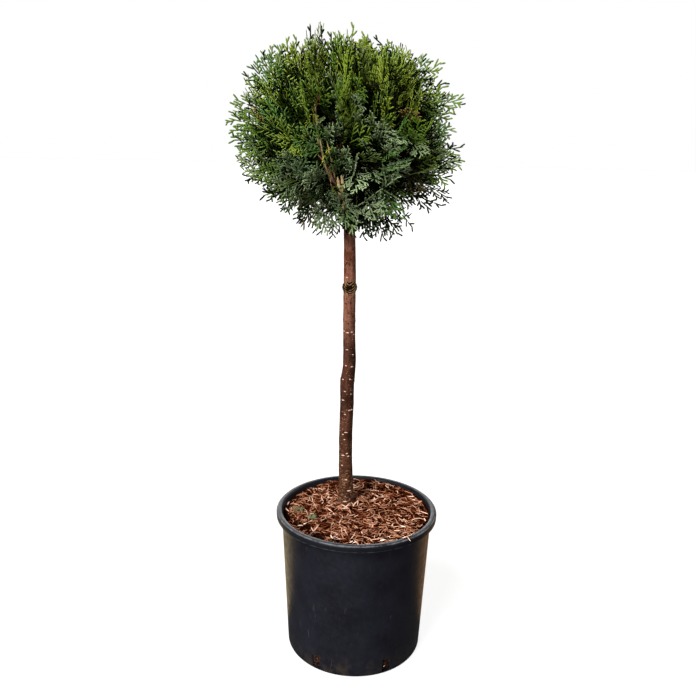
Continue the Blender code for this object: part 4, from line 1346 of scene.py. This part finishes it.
def grow_shells(crown, rng):
    """Sprays all round the crown, in three layers."""
    kinds = spray_kinds(rng)
    for shell in SHELLS:
        for out in spread_out(shell.sprays, rng):
            tip = CROWN_CENTRE + out * (shown_reach(out) * rng.uniform(*shell.reach))
            along = drawn_in(tip, growth(tip, out, rng), out, shell.lengths[1])
            across = lie(out, along, rng)
            outward = across.cross(along).z * (1.0 if out.z > UNDERSIDE else -1.0)
            bend = math.copysign(BEND * rng.random(), outward)
            zone = shell.zone or zone_of(tip - CROWN_CENTRE, rng)
            if not kept_clear(tip, along, shell.lengths[1]):
                crown.add(rng.choice(kinds[shell.name]), tip, along, across, zone, rng, bend)


def grow_shown(crown, rng):
    """The sprays that the photograph shows, each in its place; the short ones are a single comb."""
    for shown in SHOWN_SPRAYS:
        root = seen_at(shown.root, (shown.depth + CROWN_CENTRE.y) / 2.0)
        tip = seen_at(shown.tip, shown.depth)
        along = (tip - root).normalized()
        across = along.cross(Vector((0.0, 1.0, 0.0)) + Vector(rng.gauss(0.0, 0.25) for _ in range(3)))
        length = (tip - root).length
        if length < SHOWN_COMB:
            blades = pinna(rng, np.zeros(2), 0.0, rng.choice((-1, 1)), length, SHOWN_COMB_STEP, shown.slim)
        else:
            blades = spray_plan(rng, length, shown.slim, 1.0, 0.0)
        blades = aged(blades, length, SHOWN_OLD_SHARE, rng)
        spray = (length, *blade_meshes(blades, rng, SHOWN_SIDES, SHELLS[0].rings))
        crown.add(spray, tip, along, across.normalized(), shown.zone, rng, SHOWN_BEND, SHOWN_LOOSE)


def make_limbs():
    """The few bare limbs that show in the crown, from the trunk forward."""
    barks = {name: limb_surface(f"limb_{name}", colour) for name, colour in LIMB_COLOURS.items()}
    pile = Pile()
    for k, limb in enumerate(SHOWN_LIMBS):
        line = bent(trunk_point(limb.leaves_at), seen_at(limb.tip, limb.depth), limb.heading, LIMB_ROWS)
        shares = np.linspace(0.0, 1.0, len(line))
        crooks = [noise.noise_vector(Vector((9.0 * share, 4.0 * k, 0.5))) for share in shares]
        line = np.array(line) + LIMB_CROOK * np.sin(np.pi * shares)[:, None] * np.array(crooks)
        radii = np.linspace(*limb.radii, len(line)) * np.sqrt(1.0 - 0.9 * shares ** 16)

        def relief(turn, row, seed=k):
            place = polar(3.0, turn, row * 0.6 + 20.0 * seed)
            return LIMB_LUMPS * limb.radii[1] * (noise.noise(place) + 0.6 * noise.noise(place * 3.1))

        pile.add(*barked(line, radii, relief, LIMB_SIDES), list(barks).index(limb.bark))
    settle(pile.piece("limbs_in_sight", list(barks.values())), "bark")


def mass_at(cores, point):
    """The mass whose core is nearest to a point."""
    return int(np.argmin(np.linalg.norm(cores - np.array(point), axis=1)))


def make_crown():
    """The stem, the boughs and the limbs in sight, then each mass's sprays and the twigs that carry them."""
    plan, directions = mass_plan()
    bark = bark_surface()
    make_trunk(bark)
    make_lenticels()
    make_boughs(plan, bark)
    make_limbs()
    rng = random.Random(21)
    crown = Crown(plan, directions)
    grow_shells(crown, rng)
    grow_shown(crown, rng)
    for mass, pile in zip(plan, crown.piles):
        made = pile.piece(f"sprays_{mass.name}", crown.palette.materials)
        settle(made, TIER_SLOTS[mass.tier], f"foliage_{mass.name}")
    twigs = Pile()
    twigs.add(*tubes(crown.main_twigs, np.linspace(*TWIG_RADII, len(crown.main_twigs[0])), 5))
    twigs.add(*tubes(crown.side_twigs, np.linspace(*SIDE_TWIG_RADII, len(crown.side_twigs[0])), 4))
    stems = [np.linspace(bough_line(mass, 9)[-1], mass.core, 9) for mass in plan[1:]]
    stems.append(np.linspace(trunk_point(TRUNK_LINE[-1][0]), plan[0].core, 9))
    twigs.add(*tubes(stems, np.linspace(BOUGH_TIP_RADIUS, 0.6 * BOUGH_TIP_RADIUS, 9), 8))
    twig_bark = pitted_surface("twig_bark", (0.008, 0.005, 0.003), 0.8, 520.0, 300.0)
    settle(twigs.piece("twigs", [twig_bark]), "bark")


# ---- Pot, soil and mulch ----


def wall_radius(height):
    """The pot wall's outer radius at a height."""
    return WALL_FOOT_RADIUS + (WALL_TOP_RADIUS - WALL_FOOT_RADIUS) * height / POT_HEIGHT


def arc(centre, radius, start, end, pieces):
    """Points on an arc in the profile's plane, from start to end degrees."""
    found = []
    for i in range(pieces + 1):
        angle = math.radians(start + (end - start) * i / pieces)
        found.append((centre[0] + radius * math.cos(angle), centre[1] + radius * math.sin(angle)))
    return found


def turned(profile, sides, closed):
    """A skin turned round +Z from a profile of (radius, height): its points and four-sided faces."""
    turn = 2.0 * np.pi * np.arange(sides) / sides
    radii, heights = np.array(profile).T
    x = np.outer(radii, np.cos(turn))
    y = np.outer(radii, np.sin(turn))
    z = np.repeat(heights[:, None], sides, axis=1)
    rows = len(profile)
    faces = []
    for row in range(rows if closed else rows - 1):
        following = (row + 1) % rows
        for i in range(sides):
            j = (i + 1) % sides
            faces.append((row * sides + i, row * sides + j, following * sides + j, following * sides + i))
    return np.stack((x, y, z), axis=2).reshape(-1, 3), np.array(faces)


def pot_profile():
    """The pot's section as in the source, with rounder rim and foot."""
    lip = WALL * 0.9
    rim_low = POT_HEIGHT - RIM_DEPTH
    inside_foot = wall_radius(WALL + FOOT_ROUND) - WALL
    inside_top = wall_radius(POT_HEIGHT) - WALL
    profile = [(0.0005, WALL), (inside_foot - FOOT_ROUND, WALL)]
    profile += [(inside_foot, WALL + FOOT_ROUND), (inside_top, POT_HEIGHT - RIM_ROUND)]
    profile += arc((inside_top + RIM_ROUND, POT_HEIGHT - RIM_ROUND), RIM_ROUND, 180.0, 90.0, 5)[1:]
    profile += arc((RIM_RADIUS - RIM_ROUND, POT_HEIGHT - RIM_ROUND), RIM_ROUND, 90.0, 0.0, 8)
    profile += [(RIM_RADIUS - 0.0004, rim_low + 0.0012), (RIM_RADIUS - 0.0010, rim_low)]
    profile += [(RIM_RADIUS - 0.0006 - lip, rim_low)]
    profile += [(RIM_RADIUS - lip, POT_HEIGHT - RIM_ROUND), (RIM_RADIUS - lip - RIM_ROUND, POT_HEIGHT - lip)]
    profile += [(wall_radius(POT_HEIGHT), POT_HEIGHT - lip)]
    foot = wall_radius(FOOT_ROUND)
    steps = 12
    for i in range(1, steps):
        height = POT_HEIGHT - lip + (FOOT_ROUND - POT_HEIGHT + lip) * i / steps
        profile.append((wall_radius(height), height))
    profile += arc((foot - FOOT_ROUND, FOOT_ROUND), FOOT_ROUND, 0.0, -90.0, 8)
    profile += [(0.0005, 0.0)]
    return profile


def slot_cutter(angle):
    """A block with rounded edges where a drainage slot goes through the wall."""
    round_by = 0.0025
    size = Vector((6.0 * FOOT_ROUND, SLOT_WIDTH, SLOT_HIGH - SLOT_LOW))
    corners = []
    for x in (-0.5, 0.5):
        for y, z, start in ((0.5, 0.5, 0.0), (-0.5, 0.5, 90.0), (-0.5, -0.5, 180.0), (0.5, -0.5, 270.0)):
            centre = (y * (size.y - 2.0 * round_by), z * (size.z - 2.0 * round_by))
            corners += [(x * size.x, v, w) for v, w in arc(centre, round_by, start, start + 90.0, 4)]
    half = len(corners) // 2
    mesh = bpy.data.meshes.new("slot")
    sides = [(i, (i + 1) % half, (i + 1) % half + half, i + half) for i in range(half)]
    mesh.from_pydata(corners, [], [*sides, tuple(range(half))[::-1], tuple(range(half, 2 * half))])
    cutter = bpy.data.objects.new("slot", mesh)
    middle = Vector((WALL_FOOT_RADIUS, 0.0, (SLOT_LOW + SLOT_HIGH) / 2.0))
    cutter.matrix_world = Matrix.Rotation(angle, 4, "Z") @ Matrix.Translation(middle)
    bpy.context.scene.collection.objects.link(cutter)
    return cutter


def make_pot():
    """The pot, its slots cut through; its rim shines less than its wall."""
    plastics = [pot_surface("pot_satin_black", POT_SHINE), pot_surface("pot_rim_black", RIM_SHINE)]
    pot = new_piece("pot_shell", *turned(pot_profile(), POT_SIDES, closed=True), plastics)
    for i in range(SLOT_COUNT):
        cutter = slot_cutter(SLOT_PHASE + 2.0 * math.pi * i / SLOT_COUNT)
        cut = pot.modifiers.new("slot", "BOOLEAN")
        cut.operation = "DIFFERENCE"
        cut.object = cutter
        graph = bpy.context.evaluated_depsgraph_get()
        mesh = bpy.data.meshes.new_from_object(pot.evaluated_get(graph))
        pot.modifiers.clear()
        pot.data = mesh
        bpy.data.objects.remove(cutter)
    for face in pot.data.polygons:
        face.material_index = int(face.center.z > POT_HEIGHT - RIM_DEPTH)
    pot.data.shade_smooth()
    pot.data.set_sharp_from_angle(angle=SHARP_ANGLE)
    settle(pot, "pot_plastic", "pot")


def off_stem(x, y):
    """How far a place on the mulch is from the stem's axis."""
    trunk = trunk_point(MULCH_EDGE_HEIGHT)
    return math.hypot(x - trunk.x, y - trunk.y)


def mulch_height(x, y):
    """The height of the mulch: higher round the trunk and against the wall at the back, with lumps."""
    mound = MULCH_MOUND * max(0.0, 1.0 - off_stem(x, y) / WALL_TOP_RADIUS) ** 1.5
    azimuth, high = BANK
    out = max(0.0, math.hypot(x, y) - BANK_START) / (WALL_TOP_RADIUS - BANK_START)
    towards = max(0.0, math.cos(0.8 * math.remainder(math.atan2(y, x) - azimuth, 2.0 * math.pi)))
    lumps = noise.noise(Vector((x, y, 0.0)) * 26.0) + 0.6 * noise.noise(Vector((x, y, 0.31)) * 61.0)
    return MULCH_EDGE_HEIGHT + mound + high * out * towards + MULCH_LUMP * lumps


def foot_heap(x, y):
    """How far the loose fibres pile up above the bed round the stem."""
    away = off_stem(x, y) - TRUNK_LINE[0][3]
    return FOOT_HEAP * math.exp(-max(away, 0.0) / FOOT_HEAP_REACH)


def make_mulch_bed():
    """The uneven ground of the mulch, under its loose fibres."""
    low = SOIL_TOP + GAP
    edge = wall_radius(low) - WALL - GAP
    profile = [(edge * (i / BED_RINGS) ** 0.8 + 0.0002, MULCH_EDGE_HEIGHT) for i in range(BED_RINGS + 1)]
    profile += [(edge, low), (0.0002, low)]
    verts, faces = turned(profile, BED_SIDES, closed=True)
    for vert in verts:
        if vert[2] > low + GAP:
            crumbs = BED_CRUMB * noise.noise(Vector((vert[0], vert[1], 0.7)) * 210.0)
            vert[2] = mulch_height(vert[0], vert[1]) + crumbs - BED_DROP
    settle(new_piece("mulch_bed", verts, faces, [mulch_bed_surface()]), "mulch", "mulch")


def fibre_line(place, turn, tilt, length, curl):
    """Four points of one bent fibre, round its middle."""
    way = polar(1.0, turn, tilt).normalized()
    side = Vector((-way.y, way.x, 0.0))
    line = []
    for share in (-0.5, -0.17, 0.17, 0.5):
        line.append(place + way * (length * share) + side * (curl * length * (0.25 - share * share)))
    return line


def laid_at(pixel, height):
    """The place on the level plane at a height that the photograph shows at a pixel."""
    near = seen_at(pixel, -0.2)
    return near + (near - CAMERA_PLACE) * ((height - near.z) / (near.z - CAMERA_PLACE.z))


def on_mulch(pixel, lift):
    """The place a little above the mulch that the photograph shows at a pixel."""
    height = MULCH_EDGE_HEIGHT
    for _ in range(4):
        place = laid_at(pixel, height)
        height = mulch_height(place.x, place.y) + foot_heap(place.x, place.y) + lift
    return Vector((place.x, place.y, height))


def shade_of_rank(rank):
    """The fibre shade at a rank from 0 to 1, the darkest first."""
    shares = np.cumsum([share for _, _, share in FIBRE_SHADES])
    return min(int(np.searchsorted(shares, rank)), len(FIBRE_SHADES) - 1)


def mulch_edge(turn):
    """How far the loose fibres reach towards the wall: the heap stands off it at the back left."""
    azimuth, gap = EDGE_GAP
    return wall_radius(MULCH_EDGE_HEIGHT) - WALL - 0.0015 - gap * max(0.0, math.cos(turn - azimuth)) ** 2


def make_fibres():
    """Shredded bark: bent flat fibres that lie criss-cross on the bed and heap up round the stem, the lower
    ones drawn darker as painted shade.
    """
    rng = random.Random(9)
    bare = [(on_mulch(pixel, 0.0), radius) for pixel, radius in BARE_GROUND]
    lines, radii, shades = [], [], []
    while len(lines) < FIBRE_COUNT:
        turn = rng.uniform(0.0, 2.0 * math.pi)
        radius = mulch_edge(turn) * math.sqrt(rng.random())
        x, y = radius * math.cos(turn), radius * math.sin(turn)
        length = rng.uniform(*FIBRE_LENGTHS) * (0.6 + 0.5 * rng.random())
        lift = rng.random()
        low, high = FIBRE_LIFTS
        place = Vector((x, y, mulch_height(x, y) + low + (high - low + foot_heap(x, y)) * lift))
        way, tilt = rng.uniform(0.0, math.pi), rng.gauss(0.0, FIBRE_TILT)
        line = fibre_line(place, way, tilt, length, rng.uniform(-FIBRE_CURL, FIBRE_CURL))
        past = max(math.hypot(p.x, p.y) for p in line) > mulch_edge(turn)
        if past or near_trunk(place, FIBRE_CLEARANCE):
            continue
        if any((place - centre).length < around for centre, around in bare) and rng.random() < BARE_SHARE:
            continue
        width = rng.uniform(*FIBRE_WIDTHS) / 2.0
        lines.append(line)
        radii.append([width * share for share in (0.45, 1.0, 0.9, 0.3)])
        by_lift, by_chance = SHADE_WEIGHTS
        shades.append(shade_of_rank(by_lift * lift + by_chance * rng.random()))
    materials = {name: fibre_surface(name, colour) for name, colour, _ in FIBRE_SHADES}
    pile = Pile()
    verts, faces = tubes(lines, np.array(radii), 4, 0.5)
    pile.add(verts, faces, np.repeat(shades, len(faces) // len(lines)))
    settle(pile.piece("mulch_fibres", list(materials.values())), "mulch")
    return materials


def make_chips(materials):
    """The pale chips and the strand over the rim, each where the photograph shows it."""
    materials = {**materials, **{name: fibre_surface(name, colour) for name, colour in CHIP_SHADES}}
    names = list(materials)
    pile = Pile()
    for first, second, width, shade in SHOWN_CHIPS:
        start, end = (on_mulch(pixel, lift) for pixel, lift in zip((first, second), CHIP_LIFTS))
        line = [start + (end - start) * share for share in (0.0, 0.3, 0.7, 1.0)]
        radii = 0.5 * width * np.array((0.5, 1.0, 0.9, 0.5))
        pile.add(*tubes([line], radii, 6, 0.5), names.index(f"fibre_{shade}"))
    for strand in STRANDS:
        line = [laid_at(pixel, POT_HEIGHT + STRAND_LIFT) for pixel in strand]
        pile.add(*tubes([line], np.linspace(*STRAND_RADII, len(line)), 6), names.index("fibre_pink"))
    settle(pile.piece("pale_chips", list(materials.values())), "mulch")


def make_tufts():
    """Two small pale green tufts that sprout from the mulch."""
    rng = random.Random(31)
    pile = Pile()
    for shade, (pixel, radius, _) in enumerate(TUFTS):
        centre = on_mulch(pixel, TUFT_LIFT)
        for _ in range(TUFT_BLADES):
            way = polar(1.0, rng.uniform(0.0, 2.0 * math.pi), rng.uniform(0.1, 0.8))
            root = centre + way * (0.5 * radius * rng.random())
            end = root + way * (radius * rng.uniform(0.3, 0.6))
            line = bent(root, end, way + Vector((0.0, 0.0, -0.5)), 4)
            pile.add(*tubes([line], TUFT_RADIUS * np.array((0.8, 1.0, 0.8, 0.3)), 4, 0.5), shade)
    surfaces = [leaf_surface(f"tuft_{k + 1}", colour, 0.3) for k, (_, _, colour) in enumerate(TUFTS)]
    settle(pile.piece("tufts", surfaces), "foliage_grey_green")


def make_slot_chips(materials):
    """Bits of bark and root that show in the drainage slots, mostly drawn dark as painted shade inside the
    pot.
    """
    rng = random.Random(13)
    pile = Pile()
    for i in range(SLOT_COUNT):
        middle = SLOT_PHASE + 2.0 * math.pi * i / SLOT_COUNT
        for _ in range(CHIPS_PER_SLOT):
            height = rng.uniform(SLOT_LOW + 0.006, SLOT_HIGH - 0.004)
            radius = wall_radius(height) - WALL + rng.uniform(0.0, 0.0012)
            turn = middle + rng.uniform(-0.4, 0.4) * SLOT_WIDTH / radius
            way = Vector((-math.sin(turn), math.cos(turn), rng.uniform(-1.5, 1.5))).normalized()
            half = rng.uniform(0.0015, 0.0030)
            line = [polar(radius, turn, height) + way * (share * half) for share in (-1.0, -0.3, 0.4, 1.0)]
            shade = shade_of_rank(0.95 * rng.random() ** SLOT_CHIP_DARKNESS)
            pile.add(*tubes([line], SLOT_CHIP_RADIUS * np.array((0.5, 1.0, 0.9, 0.4)), 4, 0.7), shade)
    settle(pile.piece("slot_chips", list(materials.values())), "mulch")


# ---- Stage, light and camera ----


def make_stage():
    """The floor, a backdrop that only the camera sees, and glowing cards that only the pot's sheen shows, as
    painted reflections of warm ground.
    """
    flat = [(radius, 0.0) for radius in FLOOR_RADII]
    rises = np.radians(np.linspace(*BACKDROP_RISE, BACKDROP_ROWS))
    bowl = [(BACKDROP * math.cos(rise), BACKDROP * math.sin(rise)) for rise in rises]
    floor = new_piece("floor", *turned(flat, STAGE_SIDES, closed=False), [floor_surface()])
    white = glow_surface("backdrop_white", (1.0, 1.0, 1.0))
    backdrop = new_piece("backdrop", *turned(bowl, STAGE_SIDES, closed=False), [white])
    floor.visible_diffuse = floor.visible_glossy = False
    backdrop.visible_diffuse = backdrop.visible_glossy = backdrop.visible_shadow = False
    for name, azimuth, colour in REFLECTED_GROUND:
        low, high = (math.radians(azimuth + side * REFLECTED_HALF) for side in (-1.0, 1.0))
        near, far = REFLECTED_REACH
        corners = ((near, low), (near, high), (far, high), (far, low))
        verts = [polar(radius, turn, REFLECTED_HEIGHT) for radius, turn in corners]
        patch = new_piece(name, verts, [(0, 1, 2, 3)], [glow_surface(name, colour)])
        patch.visible_camera = patch.visible_diffuse = patch.visible_shadow = False


def add_sun(name, strength, colour, spread_degrees, azimuth, elevation):
    """A soft parallel light that comes from an azimuth and an elevation, in degrees."""
    light = bpy.data.lights.new(name, "SUN")
    light.energy = strength
    light.color = colour
    light.angle = math.radians(spread_degrees)
    obj = bpy.data.objects.new(name, light)
    rise = math.radians(elevation)
    source = polar(math.cos(rise), math.radians(azimuth), math.sin(rise))
    obj.rotation_euler = source.to_track_quat("Z", "Y").to_euler()
    bpy.context.scene.collection.objects.link(obj)


def light_up():
    """Soft studio light, a little warmer and stronger from the photograph's side."""
    for sun in SUNS:
        add_sun(*sun)
    world = bpy.data.worlds.new("studio")
    world.use_nodes = True
    world.node_tree.nodes["Background"].inputs["Color"].default_value = (1.0, 1.0, 1.0, 1.0)
    world.node_tree.nodes["Background"].inputs["Strength"].default_value = WORLD_STRENGTH
    bpy.context.scene.world = world
    bpy.context.scene.view_settings.view_transform = "Standard"


def set_camera():
    """The camera, where and as the photograph was taken."""
    data = bpy.data.cameras.new("photo_camera")
    data.sensor_width = SENSOR_MM
    data.lens = FOCAL_PIXELS / PHOTO_PIXELS * SENSOR_MM
    camera = bpy.data.objects.new("photo_camera", data)
    camera.matrix_world = Matrix.Translation(CAMERA_PLACE) @ CAMERA_TURN.to_4x4()
    bpy.context.scene.collection.objects.link(camera)
    bpy.context.scene.camera = camera


def main():
    """Builds everything."""
    noise.seed_set(NOISE_SEED)
    set_camera()
    make_stage()
    light_up()
    make_pot()
    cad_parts["soil"].material_slots[0].material = soil_surface()
    make_mulch_bed()
    fibres = make_fibres()
    make_chips(fibres)
    make_slot_chips(fibres)
    make_tufts()
    make_crown()
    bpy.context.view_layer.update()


main()
